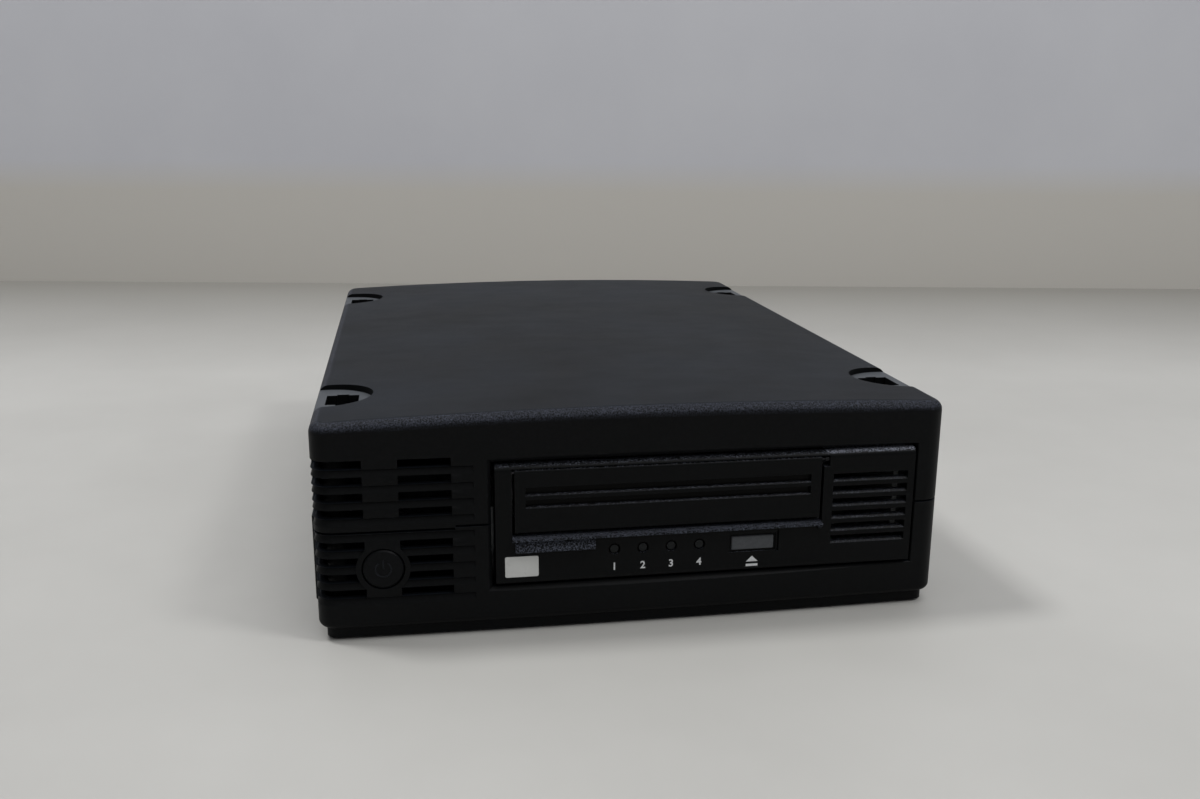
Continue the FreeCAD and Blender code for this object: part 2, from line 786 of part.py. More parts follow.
def power_switch():
    front = power_switch_front()
    half = power_switch_size / 2
    body = block(power_x - half, power_x + half, front, front + power_switch_depth, power_z - half, power_z + half)
    body = body.makeChamfer(0.8, [e for e in body.Edges if is_along(e, Vector(0, 1, 0))])
    bore_end = front + power_stem_grip + power_travel + 0.5
    body = body.cut(rod(power_stem_radius + running_clearance, (power_x, front - 1, power_z),
                        (power_x, bore_end, power_z)))
    rear = front + power_switch_depth
    pins = [block(power_x + dx - 0.4, power_x + dx + 0.4, rear - 1, rear + 3,
                  power_z + power_pin_bottom, power_z + power_pin_top) for dx in (-3.0, 3.0)]
    return fused([body] + pins)


# ================================================================ drive bezel and door
def lens_places():
    return [lens_first_x + i * lens_pitch for i in range(lens_count)]


def grille_heights():
    return [grille_top - i * grille_pitch for i in range(grille_slots)]


def bezel_plate_solid():
    left = drive_x - bezel_width / 2
    right = drive_x + bezel_width / 2
    body = block(left, right, case_front, bezel_back, bezel_bottom, bezel_top)
    face = lambda b: b.YMax < case_front + sliver
    top = edges_at(body, lambda b: face(b) and b.ZMin > bezel_top - sliver)
    body = body.makeFillet(bezel_top_radius, top)
    low = edges_at(body, lambda b: face(b) and b.ZMax < bezel_bottom + sliver)
    body = body.makeFillet(bezel_edge_radius, low)
    hollow = block(left + bezel_wall, right - bezel_wall, case_front + bezel_plate, bezel_back + 1,
                   bezel_bottom + bezel_wall, bezel_top - top_rail)
    return body.cut(hollow)


def sill():
    """The shelf under the door, with its thumb ramp on the left and a brace on the right."""
    left = bay_x - aperture_width / 2
    right = bay_x + aperture_width / 2
    face = case_front
    tip_top = aperture_bottom - sill_slope
    tip_low = tip_top - sill_lip
    lip = side_profile([(face + sill_run, aperture_bottom), (face - sill_reach, tip_top),
                        (face - sill_reach, tip_low), (face + sliver, tip_low - 0.7),
                        (face + sill_run, tip_low - 0.7)], left, right)
    ramp = side_profile([(face + tab_inset, aperture_bottom), (face - sill_reach, tab_bottom + 0.4),
                         (face - sill_reach + 0.5, tab_bottom), (face + 0.5, tab_bottom),
                         (face + sill_run, aperture_bottom - 1)], left + door_side_gap, left + tab_width)
    ramp = ramp.cut(side_profile([(face - 5, aperture_bottom + 5), (face - 5, aperture_bottom - sill_slope),
                                  (face + sill_run, aperture_bottom), (face + sill_run, aperture_bottom + 5)],
                                 left, right))
    brace = side_profile([(face + sliver, tip_low), (face - sill_reach, tip_low),
                          (face + sliver, tip_low - brace_drop)], right - brace_width, right)
    floor_left = bay_x - sill_floor_width / 2
    floor = block(floor_left, floor_left + sill_floor_width, face + sill_run - sliver, face + sill_floor_reach,
                  aperture_bottom - sill_floor, aperture_bottom)
    return [lip, ramp, brace, floor]


def ledged_slot(x, width, top, height, depth, ledge):
    """A slot into the bezel's face, its lower edge bevelled."""
    face = case_front
    low = top - height
    return side_profile([(face - 1, top), (face + depth, top), (face + depth, low), (face + ledge, low),
                         (face, low - ledge), (face - 1, low - ledge)], x - width / 2, x + width / 2)


def drive_bezel():
    bezel = bezel_plate_solid()
    left = bay_x - aperture_width / 2
    right = bay_x + aperture_width / 2
    bezel = bezel.cut(block(left, right, case_front - 1, bezel_back + 1, aperture_bottom, aperture_top))
    bezel = fused([bezel] + sill())
    cuts = [block(right, right + hinge_notch_width, case_front - 1, case_front + hinge_notch_depth,
                  aperture_top - hinge_notch_height, aperture_top)]
    pin_left = left - door_pin_grip - running_clearance
    pin_right = right + hinge_notch_width + door_pin_grip
    cuts.append(rod(door_pin_radius + 0.02, (pin_left, door_axis_y, door_axis_z),
                    (pin_right, door_axis_y, door_axis_z)))
    for z in grille_heights():
        cuts.append(ledged_slot(grille_x, grille_width, z + grille_slot_height / 2, grille_slot_height,
                                bezel_plate + 1, grille_ledge))
    for x in lens_places():
        cuts.append(rod(lens_hole_radius, (x, case_front - 1, lens_z), (x, case_front + bezel_plate + 1, lens_z)))
    recess = 2 * eject_recess_margin
    cuts.append(centred_block(eject_x, case_front - 1, case_front + eject_recess_depth, eject_z,
                              eject_width + recess, eject_height + recess))
    cuts.append(centred_block(eject_x, case_front - 1, case_front + bezel_plate + 1, eject_z,
                              eject_width + 2 * eject_gap, eject_height + 2 * eject_gap))
    cuts.append(centred_block(badge_x, case_front - 1, case_front + badge_recess, badge_z,
                              badge_width, badge_height))
    cuts.append(block(groove_x - groove_width / 2, groove_x + groove_width / 2, case_front - 1,
                      case_front + groove_depth, groove_bottom, groove_bottom + groove_height))
    return bezel.cut(cuts).removeSplitter()


def badge_plate():
    plate = centred_block(badge_x, case_front + badge_recess - badge_thickness, case_front + badge_recess,
                          badge_z, badge_width, badge_height)
    return rounded_along(plate, Vector(0, 1, 0), 0.6)


def cartridge_door():
    half = aperture_width / 2 - door_side_gap
    bottom = aperture_bottom + door_bottom_gap
    x0 = bay_x - half
    x1 = bay_x + half
    plate = block(x0, x1, case_front, case_front + door_thickness, bottom, door_axis_z)
    barrel = rod(door_barrel_radius, (x0, door_axis_y, door_axis_z), (x1, door_axis_y, door_axis_z))
    barrel = barrel.common(block(x0, x1, case_front, case_front + 10, bottom, far))
    door = fused([plate, barrel])
    cuts = [rod(door_pin_radius + door_pin_clearance, (x0 - 1, door_axis_y, door_axis_z),
                (x1 + 1, door_axis_y, door_axis_z))]
    for step in range(2):
        top = door_groove_top - step * door_groove_pitch
        cuts.append(ledged_slot(bay_x, door_groove_width, top, door_groove_height, door_groove_depth,
                                door_groove_ledge))
    return door.cut(cuts).removeSplitter()


def door_hinge_pin():
    left = bay_x - aperture_width / 2 - door_pin_grip
    right = bay_x + aperture_width / 2 + hinge_notch_width + door_pin_grip
    return rod(door_pin_radius, (left, door_axis_y, door_axis_z), (right, door_axis_y, door_axis_z))


def door_spring():
    """A torsion spring on the pin, in the notch: one leg on the bezel, one behind the door."""
    left = bay_x + aperture_width / 2 + 0.2
    middle = left + door_spring_length / 2
    inner = door_pin_radius + 0.02
    coil = tube(inner + door_spring_wall, inner, (left, door_axis_y, door_axis_z),
                (left + door_spring_length, door_axis_y, door_axis_z))
    mean = inner + door_spring_wall / 2
    leg_y = case_front + door_thickness + door_spring_leg + running_clearance
    knee = (middle, leg_y, door_axis_z - door_spring_drop)
    fixed_leg = rod(door_spring_leg, (middle, door_axis_y, door_axis_z + mean), (middle, door_axis_y, aperture_top))
    moving_leg = rod(door_spring_leg, (middle, door_axis_y + mean, door_axis_z), knee)
    hook = rod(door_spring_leg, knee, (bay_x + aperture_width / 2 - 3.5, knee[1], knee[2]))
    return fused([coil, fixed_leg, moving_leg, hook])


def eject_button():
    face = case_front - eject_proud
    cap = centred_block(eject_x, face, case_front + bezel_plate + running_clearance, eject_z,
                        eject_width, eject_height)
    cap = rounded_along(cap, Vector(0, 1, 0), 0.4)
    front = edges_at(cap, lambda b: b.YMax < face + sliver)
    cap = cap.makeChamfer(0.25, front)
    start = case_front + bezel_plate + running_clearance
    flange = centred_block(eject_x, start, start + eject_flange, eject_z,
                           eject_width + 2 * eject_lip, eject_height + eject_lip)
    return fused([cap, flange])


def board_face():
    return case_front + board_gap


def eject_switch():
    plunger_front = case_front + bezel_plate + eject_flange + eject_travel + 3 * running_clearance
    body = centred_block(eject_x, board_face() - 1.6, board_face(), eject_z, 6.0, 4.0)
    plunger = rod(1.2, (eject_x, plunger_front, eject_z), (eject_x, board_face() - 1, eject_z))
    return fused([body, plunger])


def front_board_box():
    left = lens_first_x - 8.0
    right = eject_x + 14.0
    low = bezel_bottom + bezel_wall + 0.5
    high = aperture_bottom - sill_floor - 1.0
    return left, right, low, high


def front_board():
    left, right, low, high = front_board_box()
    board = block(left, right, board_face(), board_face() + board_thickness, low, high)
    posts = [rod(2.0, (x, case_front + bezel_plate, low + 2.2), (x, board_face(), low + 2.2))
             for x in (left + 2.5, right - 2.5)]
    return fused([board] + posts)


def indicator_light_pipe():
    xs = lens_places()
    back = case_front + bezel_plate
    bar = block(xs[0] - 2.4, xs[-1] + 2.4, back, board_face(), lens_z - 1.8, lens_z + 1.8)
    studs = [rod(lens_radius, (x, case_front + lens_recess, lens_z), (x, back + 1, lens_z)) for x in xs]
    return fused([bar] + studs)


# ================================================================ drive chassis
def side_screw_ys():
    first = bezel_back + side_screw_first
    return [first, first + side_screw_span]


def standoff_places():
    xs = (chassis_left + standoff_inset, chassis_right - standoff_inset)
    ys = (bezel_back + standoff_first, (bezel_back + chassis_rear) / 2, chassis_rear - standoff_last)
    return [(x, y) for x in xs for y in ys]


def tray_pin_ys():
    return [tray_front + tray_pin_first, tray_front + tray_pin_first + tray_pin_span]


def tray_pin_z():
    return tray_floor_top + tray_pin_height


def drive_chassis():
    left_wall = block(chassis_left, chassis_left + chassis_wall, bezel_back, chassis_rear, chassis_bottom, chassis_top)
    right_wall = block(chassis_right - chassis_wall, chassis_right, bezel_back, chassis_rear,
                       chassis_bottom, chassis_top)
    deck = block(chassis_left, chassis_right, bezel_back, chassis_rear, deck_bottom, deck_top)
    rear_wall = block(chassis_left, chassis_right, chassis_rear - chassis_wall, chassis_rear, deck_bottom, chassis_top)
    rib_end = bar_front + 2.0
    rib = block(rib_left, rib_left + rib_thickness, bezel_back, rib_end, deck_bottom, deck_top + cam_plate_height)
    parts = [left_wall, right_wall, deck, rear_wall, rib]
    for x, y in standoff_places():
        parts.append(rod(standoff_radius, (x, y, main_board_top), (x, y, deck_bottom + 1)))
    for x, y in roller_places:
        shoulder = tape_middle - roller_length / 2 - running_clearance
        parts.append(rod(roller_shoulder_radius, (x, y, deck_top - 1), (x, y, shoulder)))
        parts.append(rod(roller_post_radius, (x, y, deck_top - 1), (x, y, shoulder + roller_length + 1.5)))
    chassis = fused(parts)
    cuts = []
    for x, y in ((bay_x, chuck_y), (take_up_x, take_up_y)):
        cuts.append(rod(reel_motor_radius + motor_hole_gap, (x, y, deck_bottom - 1), (x, y, deck_top + 1)))
    slot_half = tray_pin_radius + 0.1
    low = tray_pin_z() - tray_travel - slot_half
    high = tray_pin_z() + slot_half
    for y in tray_pin_ys():
        cuts.append(block(chassis_left + chassis_wall - 1.0, chassis_left + chassis_wall + 1,
                          y - slot_half, y + slot_half, low, chassis_top + 1))
        cuts.append(block(rib_left - 1, rib_left + rib_thickness + 1, y - slot_half, y + slot_half, low, high + 20))
    for y in side_screw_ys():
        z = chassis_bottom + side_screw_height
        cuts.append(rod(screw_radius, (chassis_left - 1, y, z), (chassis_left + chassis_wall + 1, y, z)))
        cuts.append(rod(screw_radius, (chassis_right - chassis_wall - 1, y, z), (chassis_right + 1, y, z)))
    for x, y in cover_screw_places():
        cuts.append(rod(screw_radius * 0.6, (x, y, chassis_top - 5), (x, y, chassis_top + 1)))
    return chassis.cut(cuts).removeSplitter()


def cover_screw_places():
    inset = chassis_wall / 2
    return [(x, y) for x in (chassis_left + inset, chassis_right - inset)
            for y in (bezel_back + cover_screw_first, chassis_rear - cover_screw_last)]


def drive_cover():
    top = chassis_top + cover_thickness
    cover = block(chassis_left, chassis_right, bezel_back, chassis_rear, chassis_top, top)
    half_w = cover_panel_width / 2
    half_l = cover_panel_length / 2
    cover = cover.cut(rounded_block(bay_x - half_w, bay_x + half_w, chuck_y - half_l, chuck_y + half_l,
                                    chassis_top - 1, top - cover_thickness / 2, 6.0))
    for x, y in cover_screw_places():
        cover = cover.cut(rod(1.1, (x, y, chassis_top - 1), (x, y, top + 1)))
    return cover


def cover_screws():
    top = chassis_top + cover_thickness
    screws = []
    for x, y in cover_screw_places():
        head = rod(1.9, (x, y, top), (x, y, top + 1.0))
        shank = rod(screw_radius * 0.6 - sliver, (x, y, top - 5), (x, y, top))
        screws.append(head.fuse(shank))
    return group(screws)


# ================================================================ loader
def cartridge_tray():
    x0 = bay_x - tray_outer_half
    x1 = bay_x + tray_outer_half
    y1 = tray_rear
    low = tray_floor_top - tray_thickness
    top = tray_floor_top + tray_wall_height
    floor = block(x0, x1, tray_front, y1, low, tray_floor_top)
    walls = [block(x0, x0 + tray_thickness, tray_front, y1, low, top),
             block(x1 - tray_thickness, x1, tray_front, y1, low, top)]
    stop = block(x0, x0 + 40, y1 - tray_thickness, y1, low, top)
    tray = fused([floor, stop] + walls)
    tray = tray.cut(rod(reel_flange_radius, (bay_x, chuck_y, low - 1), (bay_x, chuck_y, tray_floor_top + 1)))
    pins = []
    for y in tray_pin_ys():
        z = tray_pin_z()
        pins.append(rod(tray_pin_radius, (x0 + 0.5, y, z), (chassis_left + chassis_wall - 0.7, y, z)))
        pins.append(rod(tray_pin_radius, (x1 - 0.5, y, z), (rib_left + rib_thickness, y, z)))
    return fused([tray] + pins)


def cam_slot(x0, x1, y, z):
    """A sloped slot: as the plate moves back by its travel, the pin in it drops by the tray's."""
    radius = tray_pin_radius + cam_slot_clearance
    ends = [(y, z), (y - cam_travel, z - tray_travel)]
    run = Vector(0, -cam_travel, -tray_travel)
    across = Vector(0, tray_travel, -cam_travel).normalize() * radius
    a = Vector(x0, y, z)
    corners = [a + across, a + run + across, a + run - across, a - across]
    bar = Part.Face(Part.makePolygon(corners + corners[:1])).extrude(Vector(x1 - x0, 0, 0))
    return fused([bar] + [rod(radius, (x0, cy, cz), (x1, cy, cz)) for cy, cz in ends])


def cam_plate_at(x0):
    x1 = x0 + cam_plate
    low = deck_top + deck_gap
    first = tray_pin_ys()[0] - cam_travel - cam_margin
    plate = block(x0, x1, first, bar_front + bar_width, low, deck_top + cam_plate_height)
    for y in tray_pin_ys():
        plate = plate.cut(cam_slot(x0 - 1, x1 + 1, y, tray_pin_z()))
    return plate


def cam_step_y():
    """Where the right plate drops to the rack, so that it clears the pinion when the slider is back."""
    return pinion_y - pinion_radius - gear_module - pinion_gap - cam_travel


def rack_teeth(x0, x1):
    """Straight-sided rack teeth on the tail's upper edge, under the pinion."""
    pitch = math.pi * gear_module
    end = bar_front + rack_tail
    tail_top = rack_pitch_z - 1.25 * gear_module
    tail = block(x0, x1, bar_front, end, deck_top + deck_gap, tail_top)
    teeth = []
    slope = math.tan(math.radians(20))
    half_root = pitch / 4 - gear_backlash / 2 + slope * 1.25 * gear_module
    half_tip = pitch / 4 - gear_backlash / 2 - slope * gear_module
    y = pinion_y + pitch / 2
    while y - half_root > cam_step_y():
        if y + half_root < end:
            teeth.append(side_profile([(y - half_root, tail_top - sliver), (y + half_root, tail_top - sliver),
                                       (y + half_tip, rack_pitch_z + gear_module),
                                       (y - half_tip, rack_pitch_z + gear_module)], x0, x1))
        y -= pitch
    return [tail] + teeth


def cam_slider():
    low = deck_top + deck_gap
    right = cam_plate_at(cam_right)
    notch_low = rack_pitch_z - 1.25 * gear_module
    right = right.cut(block(cam_right - 1, cam_right + cam_plate + 1, cam_step_y(),
                            bar_front + bar_width + 1, notch_low, far))
    bar = block(cam_left, cam_right + cam_plate, bar_front, bar_front + bar_width, low, low + bar_thickness)
    return fused([cam_plate_at(cam_left), right, bar] + rack_teeth(cam_right, cam_right + cam_plate))


def involute_tooth(teeth, module):
    """Half outline of one tooth as (radius, half angle) pairs from root to tip."""
    pitch_r = module * teeth / 2
    base_r = pitch_r * math.cos(math.radians(20))
    tip_r = pitch_r + module
    root_r = pitch_r - 1.25 * module
    inv = lambda r: math.sqrt((r / base_r) ** 2 - 1) - math.acos(base_r / r)
    half_pitch_angle = math.pi / (2 * teeth) - gear_backlash / (2 * pitch_r)
    flank = []
    for step in range(4):
        r = max(base_r, root_r) + (tip_r - max(base_r, root_r)) * step / 3
        flank.append((r, half_pitch_angle + inv(pitch_r) - inv(r)))
    return [(root_r, flank[0][1])] + flank


def load_pinion():
    half = involute_tooth(pinion_teeth, gear_module)
    points = []
    for tooth in range(pinion_teeth):
        middle = 2 * math.pi * tooth / pinion_teeth - math.pi / 2
        outline = [(r, middle - a) for r, a in half] + [(r, middle + a) for r, a in reversed(half)]
        points += [(pinion_y + r * math.cos(t), pinion_z + r * math.sin(t)) for r, t in outline]
    gear = side_profile(points, cam_right - 0.2, cam_right + cam_plate + 0.2)
    shaft = rod(pinion_shaft_radius, (cam_right - 0.6, pinion_y, pinion_z),
                (motor_face() + 5.0, pinion_y, pinion_z))
    return fused([gear, shaft])


def motor_face():
    return rib_left + motor_bracket_thickness


def load_motor():
    start = motor_face()
    body = rod(motor_radius, (start, pinion_y, pinion_z), (start + motor_length, pinion_y, pinion_z))
    flats = block(start - 1, start + motor_length + 1, pinion_y - far, pinion_y + far,
                  pinion_z - motor_radius * 0.8, pinion_z + motor_radius * 0.8)
    body = body.common(flats)
    end_boss = rod(motor_boss_radius, (start + motor_length - 1, pinion_y, pinion_z),
                   (start + motor_length + 1.5, pinion_y, pinion_z))
    body = fused([body, end_boss])
    return body.cut(rod(pinion_shaft_radius + running_clearance, (start - 1, pinion_y, pinion_z),
                        (start + 5.5, pinion_y, pinion_z)))


def load_motor_bracket():
    x0 = rib_left
    x1 = x0 + motor_bracket_thickness
    y0 = pinion_y - motor_radius
    y1 = pinion_y + motor_radius
    plate = block(x0, x1, y0, y1, deck_top, pinion_z + 5)
    foot_plate = block(x0, x0 + 12, y0, y1, deck_top, deck_top + motor_bracket_thickness)
    hole = rod(pinion_shaft_radius + 0.6, (x0 - 1, pinion_y, pinion_z), (x1 + 1, pinion_y, pinion_z))
    return fused([plate, foot_plate]).cut(hole)


# ================================================================ reels, rollers and head
def reel_motor(x, y):
    flange = rod(reel_flange_radius, (x, y, deck_top), (x, y, deck_top + reel_flange_thickness))
    body = rod(reel_motor_radius, (x, y, deck_bottom - motor_drop), (x, y, deck_top + sliver))
    bore = rod(reel_shaft_radius + running_clearance, (x, y, deck_bottom - motor_drop + 1.2), (x, y, deck_top + 5))
    return fused([flange, body]).cut(bore)


def reel_shaft(x, y, top):
    return rod(reel_shaft_radius, (x, y, deck_bottom - motor_drop + 1.5), (x, y, top))


def supply_chuck():
    top = tray_floor_top - tray_travel + chuck_engagement
    plate_top = top - chuck_tooth_height
    plate = rod(chuck_radius, (bay_x, chuck_y, plate_top - chuck_thickness), (bay_x, chuck_y, plate_top))
    ring = tube(chuck_radius - 1, chuck_radius - 4, (bay_x, chuck_y, plate_top - sliver), (bay_x, chuck_y, top))
    gaps = []
    for i in range(chuck_teeth // 2):
        gap = block(bay_x - far / 4, bay_x + far / 4, chuck_y - 1.6, chuck_y + 1.6, plate_top, top + 1)
        gap.rotate(Vector(bay_x, chuck_y, 0), Vector(0, 0, 1), 360.0 * i / chuck_teeth)
        gaps.append(gap)
    ring = ring.cut(gaps)
    pin = Part.makeCone(4.0, 3.0, chuck_tooth_height, Vector(bay_x, chuck_y, plate_top - sliver))
    return fused([plate, ring, pin, reel_shaft(bay_x, chuck_y, plate_top)])


def take_up_reel():
    x, y = take_up_x, take_up_y
    low = tape_middle - tape_width / 2
    high = tape_middle + tape_width / 2
    lower_disc = rod(tape_reel_radius, (x, y, low - reel_disc_thickness), (x, y, low))
    upper_disc = rod(tape_reel_radius, (x, y, high), (x, y, high + reel_disc_thickness))
    hub = rod(tape_hub_radius, (x, y, low - sliver), (x, y, high + sliver))
    upper_disc = upper_disc.cut([rod(4.0, (x + 10 * math.cos(a), y + 10 * math.sin(a), high - 1),
                                     (x + 10 * math.cos(a), y + 10 * math.sin(a), high + 5))
                                 for a in (math.radians(90), math.radians(210), math.radians(330))])
    collar = rod(6.0, (x, y, deck_top + reel_flange_thickness + 0.6), (x, y, low))
    return fused([lower_disc, upper_disc, hub, collar, reel_shaft(x, y, low)])


def guide_roller(x, y):
    z0 = tape_middle - roller_length / 2
    z1 = z0 + roller_length
    half_tape = tape_width / 2 + 0.2
    spool = rod(roller_radius, (x, y, z0), (x, y, z1))
    waist = tube(roller_radius + 1, roller_radius - roller_rim, (x, y, tape_middle - half_tape),
                 (x, y, tape_middle + half_tape))
    return spool.cut(waist).cut(rod(roller_post_radius + running_clearance, (x, y, z0 - 1), (x, y, z1 + 1)))


def head_y():
    return tray_rear + head_run


def head_shaft_ys():
    return [head_y() - head_shaft_spacing / 2, head_y() + head_shaft_spacing / 2]


def head_shaft_x():
    return head_x + head_width / 2 + head_carriage_thickness / 2


def head_guide_shafts():
    return group([rod(head_shaft_radius, (head_shaft_x(), y, deck_top), (head_shaft_x(), y, chassis_top))
                  for y in head_shaft_ys()])


def head_carriage():
    x0 = head_x + head_width / 2
    y0 = head_y() - head_shaft_spacing / 2 - 3.5
    y1 = head_y() + head_shaft_spacing / 2 + 3.5
    body = block(x0, x0 + head_carriage_thickness, y0, y1, tape_middle - 7, tape_middle + 7)
    for y in head_shaft_ys():
        body = body.cut(rod(head_shaft_radius + running_clearance, (head_shaft_x(), y, deck_top),
                            (head_shaft_x(), y, chassis_top)))
    return body


def read_write_head():
    x0 = head_x - head_width / 2
    x1 = head_x + head_width / 2
    half = head_length / 2
    body = block(x0 + 2, x1, head_y() - half, head_y() + half, tape_middle - 9, tape_middle + 9)
    noses = [rod(2.6, (x0 + 2.6, head_y() + dy, tape_middle - 8), (x0 + 2.6, head_y() + dy, tape_middle + 8))
             for dy in (-3.6, 3.6)]
    return fused([body] + noses)


# ================================================================ boards, cradle
def drive_board():
    margin = chassis_wall + board_side_gap
    board = block(chassis_left + margin, chassis_right - margin, bezel_back + board_front_gap,
                  chassis_rear - board_rear_gap, main_board_top - board_thickness, main_board_top)
    chips = []
    for across, behind, width, length, height in board_chips:
        x = drive_x + across
        y = bezel_back + behind
        chips.append(block(x, x + width, y, y + length, main_board_top - sliver, main_board_top + height))
    return fused([board] + chips)


def drive_connector():
    middle = drive_x + connector_offset
    rear = chassis_rear + connector_overhang
    return block(middle - connector_width / 2, middle + connector_width / 2, rear - connector_length, rear,
                 main_board_top, deck_bottom - deck_gap)


def drive_connector_exit(across):
    """A point on the connector's rear face, at a share of its width from its middle."""
    return (drive_x + connector_offset + across * connector_width, chassis_rear + connector_overhang,
            (main_board_top + deck_bottom - deck_gap) / 2)


def cradle_post_places():
    xs = (chassis_left + post_inset, chassis_right - post_inset)
    ys = (bezel_back + post_setback, chassis_rear - post_setback)
    return [(x, y) for x in xs for y in ys]


def drive_cradle():
    t = cradle_thickness
    y0 = bezel_back + cradle_front_gap
    y1 = chassis_rear - cradle_rear_gap
    base = block(chassis_left - t, chassis_right + t, y0, y1, cradle_bottom, cradle_bottom + t)
    top = cradle_bottom + cradle_flange_height
    flanges = [block(chassis_left - t, chassis_left, y0, y1, cradle_bottom, top),
               block(chassis_right, chassis_right + t, y0, y1, cradle_bottom, top)]
    cradle = fused([base] + flanges)
    cuts = [rod(screw_radius + screw_hole_clearance, (x, y, cradle_bottom - 1), (x, y, cradle_bottom + t + 1))
            for x, y in cradle_post_places()]
    z = chassis_bottom + side_screw_height
    for y in side_screw_ys():
        cuts.append(rod(screw_radius + screw_hole_clearance, (chassis_left - t - 1, y, z),
                        (chassis_right + t + 1, y, z)))
    cuts.append(rounded_block(drive_x - cradle_window_half, drive_x + cradle_window_half,
                              y0 + cradle_window_inset, y1 - cradle_window_inset,
                              cradle_bottom - 1, cradle_bottom + t + 1, 8.0))
    return cradle.cut(cuts)


def cradle_screws():
    top = cradle_bottom + cradle_thickness
    return group([screw((x, y, top), Vector(0, 0, -1), cradle_thickness + 4.5) for x, y in cradle_post_places()])


def drive_side_screws():
    z = chassis_bottom + side_screw_height
    t = cradle_thickness
    length = t + chassis_wall
    screws = [screw((chassis_left - t, y, z), Vector(1, 0, 0), length) for y in side_screw_ys()]
    screws += [screw((chassis_right + t, y, z), Vector(-1, 0, 0), length) for y in side_screw_ys()]
    return group(screws)


# ================================================================ power supply, fan, rear
def supply_front():
    return case_front + supply_setback


def supply_bottom():
    return shell_floor + 4.0


def supply_post_places():
    half = supply_width / 2 - 5
    return [(supply_x + dx, y) for dx in (-half, half)
            for y in (supply_front() + 8, supply_front() + supply_length - 8)]


def power_supply():
    low = supply_bottom()
    half = supply_width / 2
    y0 = supply_front()
    body = block(supply_x - half, supply_x + half, y0, y0 + supply_length, low, low + supply_height)
    body = body.makeChamfer(1.0, [e for e in body.Edges if is_along(e, Vector(0, 1, 0))])
    seam = 0.4
    cuts = []
    for i in range(9):
        y = y0 + 14 + i * 5.0
        cuts.append(block(supply_x - half + 10, supply_x + half - 10, y, y + 2.2,
                          low + supply_height - seam * 2, low + supply_height + 1))
    return body.cut(cuts)


def fan_z():
    return (rear_opening_bottom + rear_opening_top) / 2


def fan_front():
    return panel_face - panel_thickness - fan_depth


def fan_hole_places():
    half = fan_hole_spacing / 2
    return [(fan_x + dx, fan_z() + dz) for dx in (-half, half) for dz in (-half, half)]


def fan_frame():
    half = fan_size / 2
    y0 = fan_front()
    y1 = y0 + fan_depth
    frame = rounded_block(fan_x - half, fan_x + half, y0, y1, fan_z() - half, fan_z() + half, 3.0, Vector(0, 1, 0))
    frame = frame.cut(rod(fan_bore_radius, (fan_x, y0 - 1, fan_z()), (fan_x, y1 + 1, fan_z())))
    frame = frame.cut([rod(2.1, (x, y0 - 1, z), (x, y1 + 1, z)) for x, z in fan_hole_places()])
    cup = rod(fan_hub_radius - 1, (fan_x, y1 - 3, fan_z()), (fan_x, y1, fan_z()))
    arms = []
    for i in range(4):
        arm = centred_block(fan_x + fan_bore_radius / 2, y1 - 2.5, y1, fan_z(), fan_bore_radius + 2, 2.4)
        arm.rotate(Vector(fan_x, 0, fan_z()), Vector(0, 1, 0), 45 + 90 * i)
        arms.append(arm)
    frame = fused([frame, cup] + arms)
    return frame.cut(rod(1.5 + running_clearance, (fan_x, y0, fan_z()), (fan_x, y1 - 0.8, fan_z())))


def fan_blade(angle):
    """One pitched blade, a slanted plate running from the hub to the blade circle."""
    depth = fan_depth - 6.0
    y0 = fan_front() + 1.0
    skew = depth * 0.7
    half = fan_blade_thickness / 2
    inner = fan_hub_radius - 1.5
    points = [(y0, -skew / 2 - half), (y0, -skew / 2 + half),
              (y0 + depth, skew / 2 + half), (y0 + depth, skew / 2 - half)]
    face = polygon_face([(fan_x + inner, y, fan_z() + z) for y, z in points])
    blade = face.extrude(Vector(fan_blade_radius + 2 - inner, 0, 0))
    limit = rod(fan_blade_radius, (fan_x, y0, fan_z()), (fan_x, y0 + depth, fan_z()))
    blade = blade.common(limit)
    blade.rotate(Vector(fan_x, 0, fan_z()), Vector(0, 1, 0), angle)
    return blade


def fan_rotor():
    y0 = fan_front() + 0.8
    hub = rod(fan_hub_radius, (fan_x, y0, fan_z()), (fan_x, y0 + fan_depth - 5.0, fan_z()))
    shaft = rod(1.5, (fan_x, y0 + 1, fan_z()), (fan_x, fan_front() + fan_depth - 1.2, fan_z()))
    return fused([hub, shaft] + [fan_blade(360.0 * i / fan_blades) for i in range(fan_blades)])


def rear_panel():
    half = case_half - rear_opening_margin + panel_overlap
    y1 = panel_face
    y0 = y1 - panel_thickness
    panel = block(-half, half, y0, y1, rear_opening_bottom - panel_overlap, rear_opening_top + panel_overlap)
    cuts = [centred_block(inlet_x, y0 - 1, y1 + 1, inlet_z, inlet_width, inlet_height),
            centred_block(data_x, y0 - 1, y1 + 1, data_z, data_width, data_height)]
    cuts += [rod(screw_radius + screw_hole_clearance, (x, y0 - 1, z), (x, y1 + 1, z))
             for x, z in panel_screw_places()]
    cuts += [rod(2.1, (x, y0 - 1, z), (x, y1 + 1, z)) for x, z in fan_hole_places()]
    for outer in (fan_bore_radius - 1.0, fan_bore_radius - 7.0):
        inner = outer - grille_ring_width
        ring = tube(outer, inner, (fan_x, y0 - 1, fan_z()), (fan_x, y1 + 1, fan_z()))
        spokes = []
        for i in range(2):
            spoke = centred_block(fan_x, y0 - 2, y1 + 2, fan_z(), 2 * outer + 4, 3.0)
            spoke.rotate(Vector(fan_x, 0, fan_z()), Vector(0, 1, 0), 45 + 90 * i)
            spokes.append(spoke)
        cuts.append(ring.cut(spokes))
    return panel.cut(cuts)


